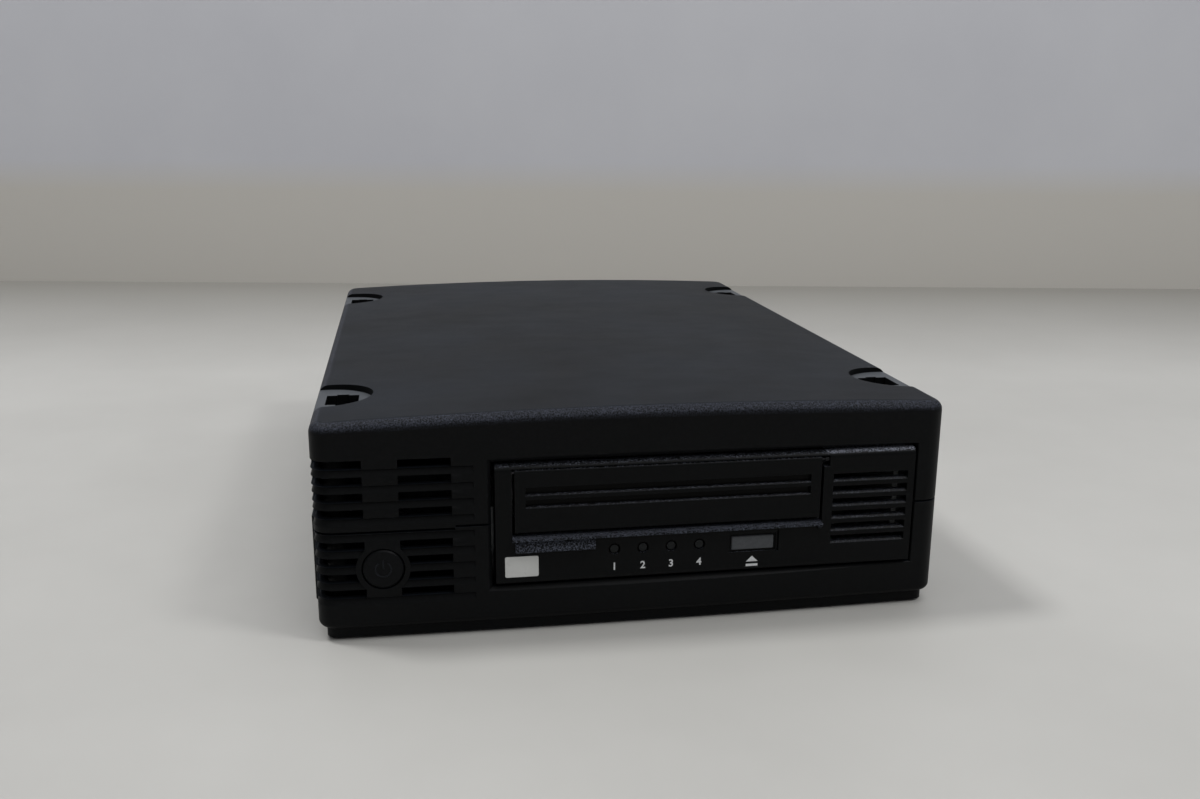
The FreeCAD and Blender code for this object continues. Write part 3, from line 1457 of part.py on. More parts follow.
def fan_screws():
    return group([screw((x, panel_face, z), Vector(0, -1, 0), panel_thickness + 8) for x, z in fan_hole_places()])


def rear_panel_screws():
    return group([screw((x, panel_face, z), Vector(0, -1, 0), panel_thickness + 6)
                  for x, z in panel_screw_places()])


def mains_inlet():
    y1 = panel_face + inlet_flange
    y0 = panel_face - inlet_depth
    gap = 0.15
    body = centred_block(inlet_x, y0, y1, inlet_z, inlet_width - 2 * gap, inlet_height - 2 * gap)
    flange = centred_block(inlet_x, panel_face, y1, inlet_z, inlet_width + 4, inlet_height + 4)
    flange = rounded_along(flange, Vector(0, 1, 0), 2.0)
    inlet = fused([body, flange])
    cavity = centred_block(inlet_x, y0 + 2.0, y1 + 1, inlet_z, inlet_width - 3, inlet_height - 3.6)
    top_edges = [e for e in cavity.Edges if is_along(e, Vector(0, 1, 0)) and e.BoundBox.ZMin > inlet_z]
    cavity = cavity.makeChamfer(4.0, top_edges)
    pins = [centred_block(inlet_x + dx, y0 + 1.0, y1 - 1.5, inlet_z + dz, 2.0, 4.0)
            for dx, dz in ((-7.0, -2.0), (0.0, 2.0), (7.0, -2.0))]
    tabs = [centred_block(inlet_x + dx, y0 - inlet_tab_length, y0 + 1.0, inlet_z + dz, 4.0, 0.8)
            for dx, dz in ((-7.0, -2.0), (0.0, inlet_tab_rise), (7.0, -2.0))]
    return fused([inlet.cut(cavity)] + pins + tabs)


def data_connector():
    y1 = panel_face + data_proud
    y0 = panel_face - data_depth
    gap = 0.1
    shell = centred_block(data_x, y0, y1, data_z, data_width - 2 * gap, data_height - 2 * gap)
    cavity = centred_block(data_x, y0 + 2.0, y1 + 1, data_z, data_width - 2 * gap - 2 * data_shell,
                           data_height - 2 * gap - 2 * data_shell)
    flange = centred_block(data_x, panel_face, panel_face + 1.0, data_z, data_width + 5, data_height + 3)
    flange = rounded_along(flange, Vector(0, 1, 0), 1.0)
    tongue = centred_block(data_x, y0 + 1, y1 - 5, data_z - 1.6, data_width - 7, 1.4)
    return fused([fused([shell, flange]).cut(cavity), tongue])


# ================================================================ internal cables
def cable(points, radius):
    """A round cable: straight runs joined by tangent arcs as large as the runs allow."""
    points = [Vector(*p) for p in points]
    edges = []
    start = points[0]
    for before, corner, after in zip(points, points[1:], points[2:]):
        inward = (before - corner)
        outward = (after - corner)
        shorter = min(inward.Length, outward.Length)
        u = inward.normalize()
        v = outward.normalize()
        half_turn = (math.pi - u.getAngle(v)) / 2
        reach = 0.45 * shorter
        bend = reach / math.tan(half_turn)
        a = corner + u * reach
        b = corner + v * reach
        towards = (u + v).normalize()
        middle = corner + towards * (bend / math.cos(half_turn) - bend)
        edges.append(Part.makeLine(start, a))
        edges.append(Part.Arc(a, middle, b).toShape())
        start = b
    edges.append(Part.makeLine(start, points[-1]))
    path = Part.Wire(edges)
    first = (points[1] - points[0]).normalize()
    ring = Part.Wire(Part.makeCircle(radius, points[0], first))
    tube_solid = path.makePipeShell([ring], True, False)
    if tube_solid.Volume < 0:
        tube_solid.reverse()
    return tube_solid


def between(start, end, share):
    return start + (end - start) * share


def data_cable():
    x, y, z = drive_connector_exit(0)
    end_y = panel_face - data_depth
    return cable([(x, y, z), (x, between(y, end_y, lead_run), z),
                  (data_x, between(end_y, y, lead_run), data_z), (data_x, end_y, data_z)], cable_radius)


def supply_rear():
    return supply_front() + supply_length


def supply_outlet(across, up):
    """A point on the supply's rear face, at shares of its width and height from its lower middle."""
    return supply_x + across * supply_width, supply_rear(), supply_bottom() + up * supply_height


def mains_lead():
    x, y, z = supply_outlet(-0.13, 0.35)
    end_y = panel_face - inlet_depth - inlet_tab_length
    end_z = inlet_z + inlet_tab_rise
    return cable([(x, y, z), (x, between(y, end_y, lead_run), z),
                  (inlet_x, between(end_y, y, lead_run), end_z), (inlet_x, end_y, end_z)], lead_radius)


def dc_cable():
    x, y, z = supply_outlet(0.26, 0.47)
    end = drive_connector_exit(-0.36)
    rear = fan_front()
    return cable([(x, y, z), (x, between(end[1], rear, lead_run / 2), z),
                  (between(x, end[0], 1 - lead_run), between(end[1], rear, 0.55), z),
                  (end[0], between(end[1], rear, lead_run), end[2]), end], lead_radius * 0.9)


def switch_lead():
    x, y, z = supply_outlet(0, 0.6)
    front = power_switch_front() + power_switch_depth
    pins_z = power_z + (power_pin_bottom + power_pin_top) / 2
    face = supply_front()
    return cable([(power_x, front, pins_z), (power_x, between(front, face, lead_run), pins_z),
                  (x, between(face, front, lead_run), z), (x, face, z)], lead_radius * 0.6)


def fan_lead():
    x, y, z = supply_outlet(0.3, 0.77)
    front = fan_front()
    x0 = fan_x - fan_size * 0.42
    z0 = fan_z() + fan_size * 0.28
    return cable([(x0, front, z0), (x0, between(front, y, lead_run / 2), z0),
                  (x, between(y, front, lead_run), z), (x, y, z)], lead_radius * 0.6)


# ================================================================ build
def build():
    nodes = {
        "upper_shell": upper_shell(),
        "lower_shell": lower_shell(),
        "case_screws": case_screws(),
        "power_button": power_button(),
        "power_button_spring": power_button_spring(),
        "power_switch": power_switch(),
        "drive_bezel": drive_bezel(),
        "cartridge_door": cartridge_door(),
        "door_hinge_pin": door_hinge_pin(),
        "door_spring": door_spring(),
        "eject_button": eject_button(),
        "eject_switch": eject_switch(),
        "front_board": front_board(),
        "indicator_light_pipe": indicator_light_pipe(),
        "badge_plate": badge_plate(),
        "drive_chassis": drive_chassis(),
        "drive_cover": drive_cover(),
        "cover_screws": cover_screws(),
        "cartridge_tray": cartridge_tray(),
        "cam_slider": cam_slider(),
        "load_pinion": load_pinion(),
        "load_motor": load_motor(),
        "load_motor_bracket": load_motor_bracket(),
        "supply_reel_motor": reel_motor(bay_x, chuck_y),
        "supply_chuck": supply_chuck(),
        "take_up_motor": reel_motor(take_up_x, take_up_y),
        "take_up_reel": take_up_reel(),
        "head_guide_shafts": head_guide_shafts(),
        "head_carriage": head_carriage(),
        "read_write_head": read_write_head(),
        "drive_board": drive_board(),
        "drive_connector": drive_connector(),
        "drive_cradle": drive_cradle(),
        "cradle_screws": cradle_screws(),
        "drive_side_screws": drive_side_screws(),
        "power_supply": power_supply(),
        "fan_frame": fan_frame(),
        "fan_rotor": fan_rotor(),
        "fan_screws": fan_screws(),
        "rear_panel": rear_panel(),
        "rear_panel_screws": rear_panel_screws(),
        "mains_inlet": mains_inlet(),
        "data_connector": data_connector(),
        "data_cable": data_cable(),
        "mains_lead": mains_lead(),
        "dc_cable": dc_cable(),
        "switch_lead": switch_lead(),
        "fan_lead": fan_lead(),
    }
    for name, (side, y) in socket_places.items():
        nodes["foot_" + name] = foot(side, y)
    for number, (x, y) in enumerate(roller_places, start=1):
        nodes["guide_roller_%d" % number] = guide_roller(x, y)
    return nodes


os.makedirs("parts", exist_ok=True)
for node, shape in build().items():
    shape.exportStep("parts/%s.step" % node)
    print("%-22s solids %d valid %s volume %.0f" % (node, len(shape.Solids), shape.isValid(), shape.Volume))
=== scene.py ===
import bpy
import bmesh
import json
import math
from mathutils import Matrix, Vector
from mathutils.bvhtree import BVHTree


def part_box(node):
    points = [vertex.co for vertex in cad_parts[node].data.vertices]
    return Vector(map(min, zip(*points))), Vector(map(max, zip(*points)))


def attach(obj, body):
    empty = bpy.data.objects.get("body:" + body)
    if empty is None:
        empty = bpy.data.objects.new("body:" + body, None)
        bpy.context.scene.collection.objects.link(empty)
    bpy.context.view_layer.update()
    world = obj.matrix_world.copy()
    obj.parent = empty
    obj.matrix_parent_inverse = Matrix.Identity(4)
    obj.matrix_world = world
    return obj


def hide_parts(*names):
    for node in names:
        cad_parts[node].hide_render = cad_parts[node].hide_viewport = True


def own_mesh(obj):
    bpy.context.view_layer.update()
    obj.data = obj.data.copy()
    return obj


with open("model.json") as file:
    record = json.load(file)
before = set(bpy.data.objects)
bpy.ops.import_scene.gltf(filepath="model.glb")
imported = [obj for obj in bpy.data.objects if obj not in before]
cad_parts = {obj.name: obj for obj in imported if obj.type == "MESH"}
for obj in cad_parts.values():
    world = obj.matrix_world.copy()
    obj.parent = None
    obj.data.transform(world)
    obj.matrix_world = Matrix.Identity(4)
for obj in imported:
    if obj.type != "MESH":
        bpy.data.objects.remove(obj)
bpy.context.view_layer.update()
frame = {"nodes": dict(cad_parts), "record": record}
nodes = frame["nodes"]
mm = 0.001
beyond = 1.0        # metres, past the object on every side


def low(node):
    return Vector(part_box(node)[0])


def high(node):
    return Vector(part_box(node)[1])


def middle(node):
    return (low(node) + high(node)) / 2


def linearColour(hexText):
    channels = []
    for i in (0, 2, 4):
        c = int(hexText.lstrip("#")[i:i + 2], 16) / 255
        channels.append(c / 12.92 if c <= 0.04045 else ((c + 0.055) / 1.055) ** 2.4)
    return (*channels, 1.0)


def addNode(tree, kind, inputs=None, **settings):
    # inputs gives a socket, by name or number, its value or the output that feeds it
    node = tree.nodes.new(kind)
    for name, value in settings.items():
        setattr(node, name, value)
    for target, value in (inputs or {}).items():
        if isinstance(value, bpy.types.NodeSocket):
            tree.links.new(value, node.inputs[target])
        else:
            node.inputs[target].default_value = value
    return node


def startMaterial(name):
    material = bpy.data.materials.new(name)
    material.use_nodes = True
    tree = material.node_tree
    tree.nodes.clear()
    shader = addNode(tree, "ShaderNodeBsdfPrincipled")
    addNode(tree, "ShaderNodeOutputMaterial", {"Surface": shader.outputs[0]})
    coords = addNode(tree, "ShaderNodeTexCoord").outputs["Object"]
    return material, tree, shader, coords


def grainField(tree, coords, sizeMm, detail=2.0, rough=0.5, stretch=(1, 1, 1)):
    # random unevenness about sizeMm across, drawn out along an axis whose stretch is below 1
    mapping = addNode(tree, "ShaderNodeMapping", {"Vector": coords, "Scale": stretch})
    texture = addNode(tree, "ShaderNodeTexNoise", {
        "Vector": mapping.outputs[0], "Scale": 1 / (sizeMm * mm), "Detail": detail, "Roughness": rough})
    return texture.outputs["Fac"]


def blotches(tree, coords, sizeMm, levels, detail=2.0, rough=0.5, stretch=(1, 1, 1), span=(0.0, 1.0)):
    # patches of that size: span's first value below the two levels, its second above them
    field = grainField(tree, coords, sizeMm, detail, rough, stretch)
    return addNode(tree, "ShaderNodeMapRange", {
        0: field, 1: levels[0], 2: levels[1], 3: span[0], 4: span[1]}).outputs[0]


def product(tree, first, *others):
    # masks and shares multiplied together
    for other in others:
        first = addNode(tree, "ShaderNodeMath", {0: first, 1: other}, operation="MULTIPLY").outputs[0]
    return first


def band(tree, value, levels):
    # rises from 0 to 1 between the first two levels and falls back between the last two
    rise = addNode(tree, "ShaderNodeMapRange", {0: value, 1: levels[0], 2: levels[1]})
    fall = addNode(tree, "ShaderNodeMapRange", {0: value, 1: levels[3], 2: levels[2]})
    return product(tree, rise.outputs[0], fall.outputs[0])


def paint(tree, shader, share, colour, under=None):
    # lays a colour over the shader's own, or over the one given, as far as share goes
    base = shader.inputs["Base Color"]
    below, above = [linearColour(c) if isinstance(c, str) else c
                    for c in (under or base.links[0].from_socket, colour)]
    mix = addNode(tree, "ShaderNodeMix", {0: share, 6: below, 7: above}, data_type="RGBA")
    tree.links.new(mix.outputs[2], base)


def roundCorners(tree, shader, radiusMm):
    rounded = addNode(tree, "ShaderNodeBevel", {"Radius": radiusMm * mm}, samples=4).outputs[0]
    tree.links.new(rounded, shader.inputs["Normal"])
    return rounded


def addRelief(tree, shader, height, heightMm, strength=1.0):
    # raises the surface over the rounding or relief that the shader already has
    normal = shader.inputs["Normal"]
    bump = addNode(tree, "ShaderNodeBump", {
        "Height": height, "Strength": strength, "Distance": heightMm * mm})
    if normal.is_linked:
        tree.links.new(normal.links[0].from_socket, bump.inputs["Normal"])
    tree.links.new(bump.outputs[0], normal)


def slopeMask(tree, levels):
    # 1 where the piece's own surface leans between the given upward parts of its normal
    normal = addNode(tree, "ShaderNodeTexCoord").outputs["Normal"]
    upward = addNode(tree, "ShaderNodeSeparateXYZ", {0: normal}).outputs[2]
    return band(tree, upward, levels)


def zoneMask(tree, coords, lowCorner, highCorner, softMm=0.05):
    # 1 inside a box of the object's own coordinates, in metres
    split = addNode(tree, "ShaderNodeSeparateXYZ", {0: coords}).outputs
    soft = softMm * mm
    return product(tree, *[band(tree, split[i], (start - soft, start, end, end + soft))
                           for i, (start, end) in enumerate(zip(lowCorner, highCorner))])


def addFlecks(tree, shader, coords, mask, look):
    # pale broken grain, raised a little, laid over the mask: used for painted highlights on rounded edges and
    # upward faces, and for the coarse pad's grain
    flecks = blotches(tree, coords, look["fleckMm"], look["levels"], 3, 0.7)
    share = product(tree, mask, flecks)
    paint(tree, shader, share, look["fleck"])
    addRelief(tree, shader, share, look["heightMm"])


plasticLook = {
    "caseColour": "#0b0c0d",
    "casePale": "#0f1011",
    "bezelColour": "#090a0b",
    "bezelPale": "#0d0e0f",
    # colour of the worn corners, pale partly as painted highlight along the edges
    "wornAndLitEdge": "#4a4e5a",
    "sheen": 0.07,          # specular level: the deep grain traps most of the gloss
    "grainMm": 0.55,        # real spark grain is near 0.15 mm, drawn coarser so it shows
    "grainHeightMm": 0.045,
    "speckTimes": 2.2,      # tone's specks to the pits
    "cloudMm": 45,          # flow of the melt
    "chipMm": 3.0,          # broken edge of the worn corners
    "smearMm": 22,          # hands' marks in the gloss
    "waveMm": 30,           # sink of the wall
    "waveHeightMm": 0.01,
    "cornerMm": 0.25,
    "cornerLevels": (0.995, 0.80),
    "polish": -0.12,        # roughness that wear takes away
}


def mouldedPlastic(name, colour, pale, roughness, grainMm, grainHeightMm, wear,
                   wornAndLitEdge=plasticLook["wornAndLitEdge"]):
    # ABS or nylon from a spark-eroded tool: matt, finely pitted, its corners worn paler by handling and
    # painted paler still as a stand-in for their edge highlights
    material, tree, shader, coords = startMaterial(name)
    cloud = blotches(tree, coords, plasticLook["cloudMm"], (0.35, 0.65), 4, 0.6)
    speck = blotches(tree, coords, grainMm * plasticLook["speckTimes"], (0.4, 0.7), 2, 0.6)
    tone = addNode(tree, "ShaderNodeMath", {
        0: product(tree, cloud, 0.3), 1: product(tree, speck, 0.7)}, operation="ADD").outputs[0]
    paint(tree, shader, tone, pale, colour)
    # the rounded normal leans from the true one on a corner only
    rounded = roundCorners(tree, shader, plasticLook["cornerMm"])
    flat = addNode(tree, "ShaderNodeNewGeometry").outputs["Normal"]
    lean = addNode(tree, "ShaderNodeVectorMath", {0: rounded, 1: flat}, operation="DOT_PRODUCT")
    start, end = plasticLook["cornerLevels"]
    corners = addNode(tree, "ShaderNodeMapRange", {0: lean.outputs["Value"], 1: start, 2: end}).outputs[0]
    chips = blotches(tree, coords, plasticLook["chipMm"], (0.52, 0.70), 5, 0.7)
    rubAndHighlight = product(tree, corners, chips, wear)
    paint(tree, shader, rubAndHighlight, wornAndLitEdge)
    smear = blotches(tree, coords, plasticLook["smearMm"], (0.35, 0.7), 5, 0.65, (1, 1.8, 1), (-0.02, 0.02))
    rough = smear
    for change in (product(tree, rubAndHighlight, plasticLook["polish"]), roughness):
        rough = addNode(tree, "ShaderNodeMath", {0: rough, 1: change}, operation="ADD").outputs[0]
    tree.links.new(rough, shader.inputs["Roughness"])
    shader.inputs["IOR"].default_value = 1.53
    shader.inputs["Specular IOR Level"].default_value = plasticLook["sheen"]
    addRelief(tree, shader, grainField(tree, coords, grainMm, 3, 0.65), grainHeightMm)
    wave = grainField(tree, coords, plasticLook["waveMm"])
    addRelief(tree, shader, wave, plasticLook["waveHeightMm"], 0.5)
    return material, tree, shader, coords


lidLook = {
    "roughness": 0.46, "wear": 0.5,
    "dust": "#171b21",          # dust held in the grain of the upward faces, painted paler than dust alone so that it also stands in for the sheen the lid takes from above
    "dustThinAndSheen": "#0e1013",
    "dustMm": 70,
    "dustAndSheenLevels": (0.90, 0.985, 2, 3),
    "edgeDepth": 9.5 * mm,      # lid's crown down to the foot of its rounded edge
    "edgeLevels": (0.15, 0.5, 0.95, 0.99),
    # painted highlight flecks for the lid's rounded edge
    "edge": {"fleck": "#454955", "fleckMm": 0.5, "levels": (0.40, 0.72), "heightMm": 0.05},
    "floorDrop": 4.3 * mm,      # lid's crown down to the floors of the stacking recesses
    "floorReflectionColour": "#4e5155",   # the recess is polished; painted paler than the grained lid to stand in for the reflection in its polish
    "floorBand": 0.3 * mm,
    "floorLevels": (0.99, 0.999, 2, 3),
}


def caseMaterial():
    # the shells' ABS: dust on top painted paler as a stand-in for the lid's sheen too, painted highlight
    # flecks on the lid's rounded edge, and the smooth floors of the four stacking recesses painted pale for
    # their reflection
    material, tree, shader, coords = mouldedPlastic(
        "caseSparkGrainAbs", plasticLook["caseColour"], plasticLook["casePale"], lidLook["roughness"],
        plasticLook["grainMm"], plasticLook["grainHeightMm"], lidLook["wear"])
    # dust and painted sheen on the faces that lean up
    patches = blotches(tree, coords, lidLook["dustMm"], (0.35, 0.68), 5, 0.65)
    dust = addNode(tree, "ShaderNodeMix", {
        0: patches, 6: linearColour(lidLook["dustThinAndSheen"]), 7: linearColour(lidLook["dust"])}, data_type="RGBA")
    paint(tree, shader, slopeMask(tree, lidLook["dustAndSheenLevels"]), dust.outputs[2])
    crown, far = high("upper_shell").z, beyond
    # painted highlight: pale flecks over the rounded edge just below the lid's crown, where the light catches
    # it
    upper = zoneMask(tree, coords, (-far, -far, crown - lidLook["edgeDepth"]), (far, far, crown + far))
    edge = product(tree, upper, slopeMask(tree, lidLook["edgeLevels"]))
    addFlecks(tree, shader, coords, edge, lidLook["edge"])
    # painted reflection on the smooth floors of the stacking recesses
    level, half = crown - lidLook["floorDrop"], lidLook["floorBand"] / 2
    inside = zoneMask(tree, coords, (-far, -far, level - half), (far, far, level + half))
    floorReflection = product(tree, inside, slopeMask(tree, lidLook["floorLevels"]))
    paint(tree, shader, floorReflection, lidLook["floorReflectionColour"])
    return material


indicatorLook = {
    "count": 4,
    "margin": 2.4 * mm,         # light pipe's end to the first lens's middle
    "rimInner": 1.45 * mm, "rimOuter": 2.15 * mm, "rimSoft": 0.08 * mm,
}


def lensRow():
    # where the first and last lenses are across the front, and the step between two
    start, end = low("indicator_light_pipe").x, high("indicator_light_pipe").x
    first, last = start + indicatorLook["margin"], end - indicatorLook["margin"]
    return first, last, (last - first) / (indicatorLook["count"] - 1)


def lensRimShade(tree, coords):
    # 1 on the narrow shadowed rim where each lens meets its hole in the bezel, where shade is painted
    first, last, pitch = lensRow()
    inner, outer, soft = (indicatorLook[k] for k in ("rimInner", "rimOuter", "rimSoft"))
    split = addNode(tree, "ShaderNodeSeparateXYZ", {0: coords}).outputs
    across = split[0]
    for operation, amount in (("ADD", pitch / 2 - first), ("FLOORED_MODULO", pitch), ("SUBTRACT", pitch / 2)):
        across = addNode(tree, "ShaderNodeMath", {0: across, 1: amount}, operation=operation).outputs[0]
    level = middle("indicator_light_pipe").z
    up = addNode(tree, "ShaderNodeMath", {0: split[2], 1: level}, operation="SUBTRACT").outputs[0]
    spot = addNode(tree, "ShaderNodeCombineXYZ", {0: across, 1: up}).outputs[0]
    away = addNode(tree, "ShaderNodeVectorMath", {0: spot}, operation="LENGTH").outputs["Value"]
    ring = band(tree, away, (inner - soft, inner + soft, outer - soft, outer + soft))
    rowStart, rowEnd = first - pitch / 2, last + pitch / 2
    return product(tree, ring, band(tree, split[0], (rowStart, rowStart + soft, rowEnd, rowEnd + soft)))


bezelLook = {
    "roughness": 0.40, "wear": 0.3, "grainMm": 0.4, "grainHeightMm": 0.02,
    "padSpeckSillHighlight": {"fleck": "#515560", "fleckMm": 0.5, "levels": (0.46, 0.58), "heightMm": 0.12},
    "ledges": {"fleck": "#5f626c", "fleckMm": 0.55, "levels": (0.50, 0.62), "heightMm": 0.05},
    "grilleTopHighlight": {"fleck": "#9a9eab", "fleckMm": 0.55, "levels": (0.44, 0.58), "heightMm": 0.05},
    "ledgeLevels": (0.55, 0.85, 2, 3),
    "pit": "#020202",           # painted shade on the floors of the door's grooves and on the lens rims, which hold no light
    "pitDepth": 0.55 * mm, "pitMargin": 1 * mm, "pitReach": 4 * mm,
    "reach": 3 * mm,            # how far the sill and the pad go before and behind the door's face
    "sillDrop": 1.4 * mm,       # door's foot down to the sill's top
    "sillDepth": 2.0 * mm,
    "sillPast": (1 * mm, 1.2 * mm),     # left and right past the door
    "padRise": 11.1 * mm,       # bezel's lower edge to the thumb pad's
    "padWidth": 27.5 * mm,
    "padBack": 1.3 * mm,
    "cornerGap": 2 * mm,        # door's end to the top edge that is rubbed
    "topDepth": 3.0 * mm,
}


def bezelMaterial():
    # the same ABS, finer and smoother than the case, with a coarse pad on the sill and tab; painted
    # highlights on the sill, the upward faces and the top edge above the grille, and painted shade in the
    # door's grooves and round the lenses
    look = bezelLook
    material, tree, shader, coords = mouldedPlastic(
        "bezelFineAbs", plasticLook["bezelColour"], plasticLook["bezelPale"], look["roughness"],
        look["grainMm"], look["grainHeightMm"], look["wear"])
    door, end = low("cartridge_door"), high("cartridge_door")
    before, sillTop = door.y - look["reach"], door.z - look["sillDrop"]
    pad = zoneMask(tree, coords, (door.x, before, low("drive_bezel").z + look["padRise"]),
                   (door.x + look["padWidth"], door.y + look["padBack"], sillTop))
    sill = zoneMask(tree, coords, (door.x - look["sillPast"][0], before, sillTop - look["sillDepth"]),
                    (end.x + look["sillPast"][1], door.y + look["reach"], sillTop))
    # painted shade: the groove floors and the lens rims darkened as if unlit
    margin = look["pitMargin"]
    grooveShade = zoneMask(tree, coords, (door.x + margin, door.y + look["pitDepth"], door.z),
                    (end.x - margin, door.y + look["pitReach"], end.z - margin))
    dark = addNode(tree, "ShaderNodeMath", {0: grooveShade, 1: lensRimShade(tree, coords)}, operation="MAXIMUM")
    paint(tree, shader, dark.outputs[0], look["pit"])
    # the pad's coarse grain, and painted highlight along the sill's top, which leans up to the light
    padGrainSillHighlight = addNode(tree, "ShaderNodeMath", {0: pad, 1: sill}, operation="MAXIMUM")
    addFlecks(tree, shader, coords, padGrainSillHighlight.outputs[0], look["padSpeckSillHighlight"])
    # painted highlight: pale flecks on the faces that lean upward, where the light from above catches them
    ledges = slopeMask(tree, look["ledgeLevels"])
    addFlecks(tree, shader, coords, ledges, look["ledges"])
    # painted highlight: the rounded top edge above the grille is painted bright where the light catches it
    start = (end.x + look["cornerGap"], -beyond, high("drive_bezel").z - look["topDepth"])
    corner = zoneMask(tree, coords, start, (beyond, beyond, beyond))
    addFlecks(tree, shader, coords, product(tree, ledges, corner), look["grilleTopHighlight"])
    return material


rubberLook = {"dust": "#3a3a3b", "dustMm": 1.2, "grainMm": 0.5, "grainHeightMm": 0.03, "roughness": 0.85}


def rubberMaterial(name, colour):
    # soft moulded rubber: matt, slightly dusty in its grain
    material, tree, shader, coords = startMaterial(name)
    dust = blotches(tree, coords, rubberLook["dustMm"], (0.5, 0.75), 4, 0.7, span=(0, 0.5))
    paint(tree, shader, dust, rubberLook["dust"], colour)
    shader.inputs["Roughness"].default_value = rubberLook["roughness"]
    shader.inputs["IOR"].default_value = 1.52
    addRelief(tree, shader, grainField(tree, coords, rubberLook["grainMm"], 3), rubberLook["grainHeightMm"])
    return material


smoothLook = {"flowMm": 8, "glossMm": 3, "waveMm": 1.0, "waveHeightMm": 0.01, "cornerMm": 0.2}


def smoothPlastic(name, colour, pale, roughness, ior=1.5):
    # polished injection moulding: even gloss with faint clouds along the flow
    material, tree, shader, coords = startMaterial(name)
    flow = blotches(tree, coords, smoothLook["flowMm"], (0.35, 0.7), 4, 0.6, (1, 0.4, 1))
    paint(tree, shader, flow, pale, colour)
    gloss = (roughness - 0.05, roughness + 0.06)
    rough = blotches(tree, coords, smoothLook["glossMm"], (0.3, 0.7), 3, span=gloss)
    tree.links.new(rough, shader.inputs["Roughness"])
    shader.inputs["IOR"].default_value = ior
    roundCorners(tree, shader, smoothLook["cornerMm"])
    addRelief(tree, shader, grainField(tree, coords, smoothLook["waveMm"], 3), smoothLook["waveHeightMm"])
    return material


metalLook = {
    "lineMm": 0.6,      # real rolling lines are near 0.05 mm, drawn coarser so they show
    "lineStretch": (1, 0.06, 1),
    "lineHeightMm": 0.006,
    "tarnishMm": 18,
    "cornerMm": 0.15,
}


def sheetMetal(name, colour, dull, roughness, grainMm=metalLook["lineMm"],
               stretch=metalLook["lineStretch"], heightMm=metalLook["lineHeightMm"]):
    # rolled or ground metal: fine lines along the rolling, a little cloudy tarnish
    material, tree, shader, coords = startMaterial(name)
    lines = grainField(tree, coords, grainMm, 4, 0.65, stretch)
    cloud = blotches(tree, coords, metalLook["tarnishMm"], (0.4, 0.65), 5, 0.6)
    paint(tree, shader, cloud, dull, colour)
    shader.inputs["Metallic"].default_value = 1.0
    streaks = addNode(tree, "ShaderNodeMapRange", {0: lines, 1: 0.3, 2: 0.7, 3: -0.06, 4: 0.08}).outputs[0]
    worn = addNode(tree, "ShaderNodeMapRange", {0: cloud, 3: roughness, 4: roughness + 0.1}).outputs[0]
    rough = addNode(tree, "ShaderNodeMath", {0: streaks, 1: worn}, operation="ADD").outputs[0]
    tree.links.new(rough, shader.inputs["Roughness"])
    roundCorners(tree, shader, metalLook["cornerMm"])
    addRelief(tree, shader, lines, heightMm)
    return material


def castMetal(name, colour, dull):
    # die-cast alloy: dull, softly pitted, no direction
    return sheetMetal(name, colour, dull, 0.42, 0.9, (1, 1, 1), 0.03)


coatLook = {"peelMm": 1.1, "peelHeightMm": 0.04, "toneMm": 20, "cornerMm": 0.2}


def powderCoat(name, colour, pale):
    # powder coat: the orange-peel skin of baked paint on steel
    material, tree, shader, coords = startMaterial(name)
    peel = grainField(tree, coords, coatLook["peelMm"])
    tone = blotches(tree, coords, coatLook["toneMm"], (0.35, 0.7), 4, 0.6)
    paint(tree, shader, tone, pale, colour)
    rough = addNode(tree, "ShaderNodeMapRange", {0: peel, 1: 0.3, 2: 0.7, 3: 0.42, 4: 0.55}).outputs[0]
    tree.links.new(rough, shader.inputs["Roughness"])
    roundCorners(tree, shader, coatLook["cornerMm"])
    addRelief(tree, shader, peel, coatLook["peelHeightMm"])
    return material


boardLook = {"trackMm": 4.0, "trackHeightMm": 0.03, "glossMm": 2}


def circuitBoard(name, colour, copper):
    # solder-masked glass epoxy: green lacquer over copper tracks, glossy and a little uneven
    material, tree, shader, coords = startMaterial(name)
    tracks = addNode(tree, "ShaderNodeTexVoronoi", {
        "Vector": coords, "Scale": 1 / (boardLook["trackMm"] * mm)},
        feature="DISTANCE_TO_EDGE", distance="CHEBYCHEV").outputs["Distance"]
    line = addNode(tree, "ShaderNodeMapRange", {0: tracks, 1: 0.10, 2: 0.06}).outputs[0]
    paint(tree, shader, line, copper, colour)
    rough = blotches(tree, coords, boardLook["glossMm"], (0.3, 0.7), 3, span=(0.25, 0.4))
    tree.links.new(rough, shader.inputs["Roughness"])
    shader.inputs["IOR"].default_value = 1.55
    addRelief(tree, shader, line, boardLook["trackHeightMm"])
    return material


pipeLook = {"dark": "#0f1112", "light": "#191c1d", "cloudMm": 1.5, "roughness": (0.25, 0.35), "sheen": 0.15}


def clearPlastic(name):
    # smoked acrylic light pipe, unlit: dark satin ends set in the bezel
    material, tree, shader, coords = startMaterial(name)
    cloud = blotches(tree, coords, pipeLook["cloudMm"], (0.3, 0.7), 3)
    paint(tree, shader, cloud, pipeLook["light"], pipeLook["dark"])
    # painted shade on the lens rims
    paint(tree, shader, lensRimShade(tree, coords), bezelLook["pit"])
    smooth, dull = pipeLook["roughness"]
    rough = addNode(tree, "ShaderNodeMapRange", {0: cloud, 3: smooth, 4: dull}).outputs[0]
    tree.links.new(rough, shader.inputs["Roughness"])
    shader.inputs["Specular IOR Level"].default_value = pipeLook["sheen"]
    shader.inputs["IOR"].default_value = 1.49
    return material


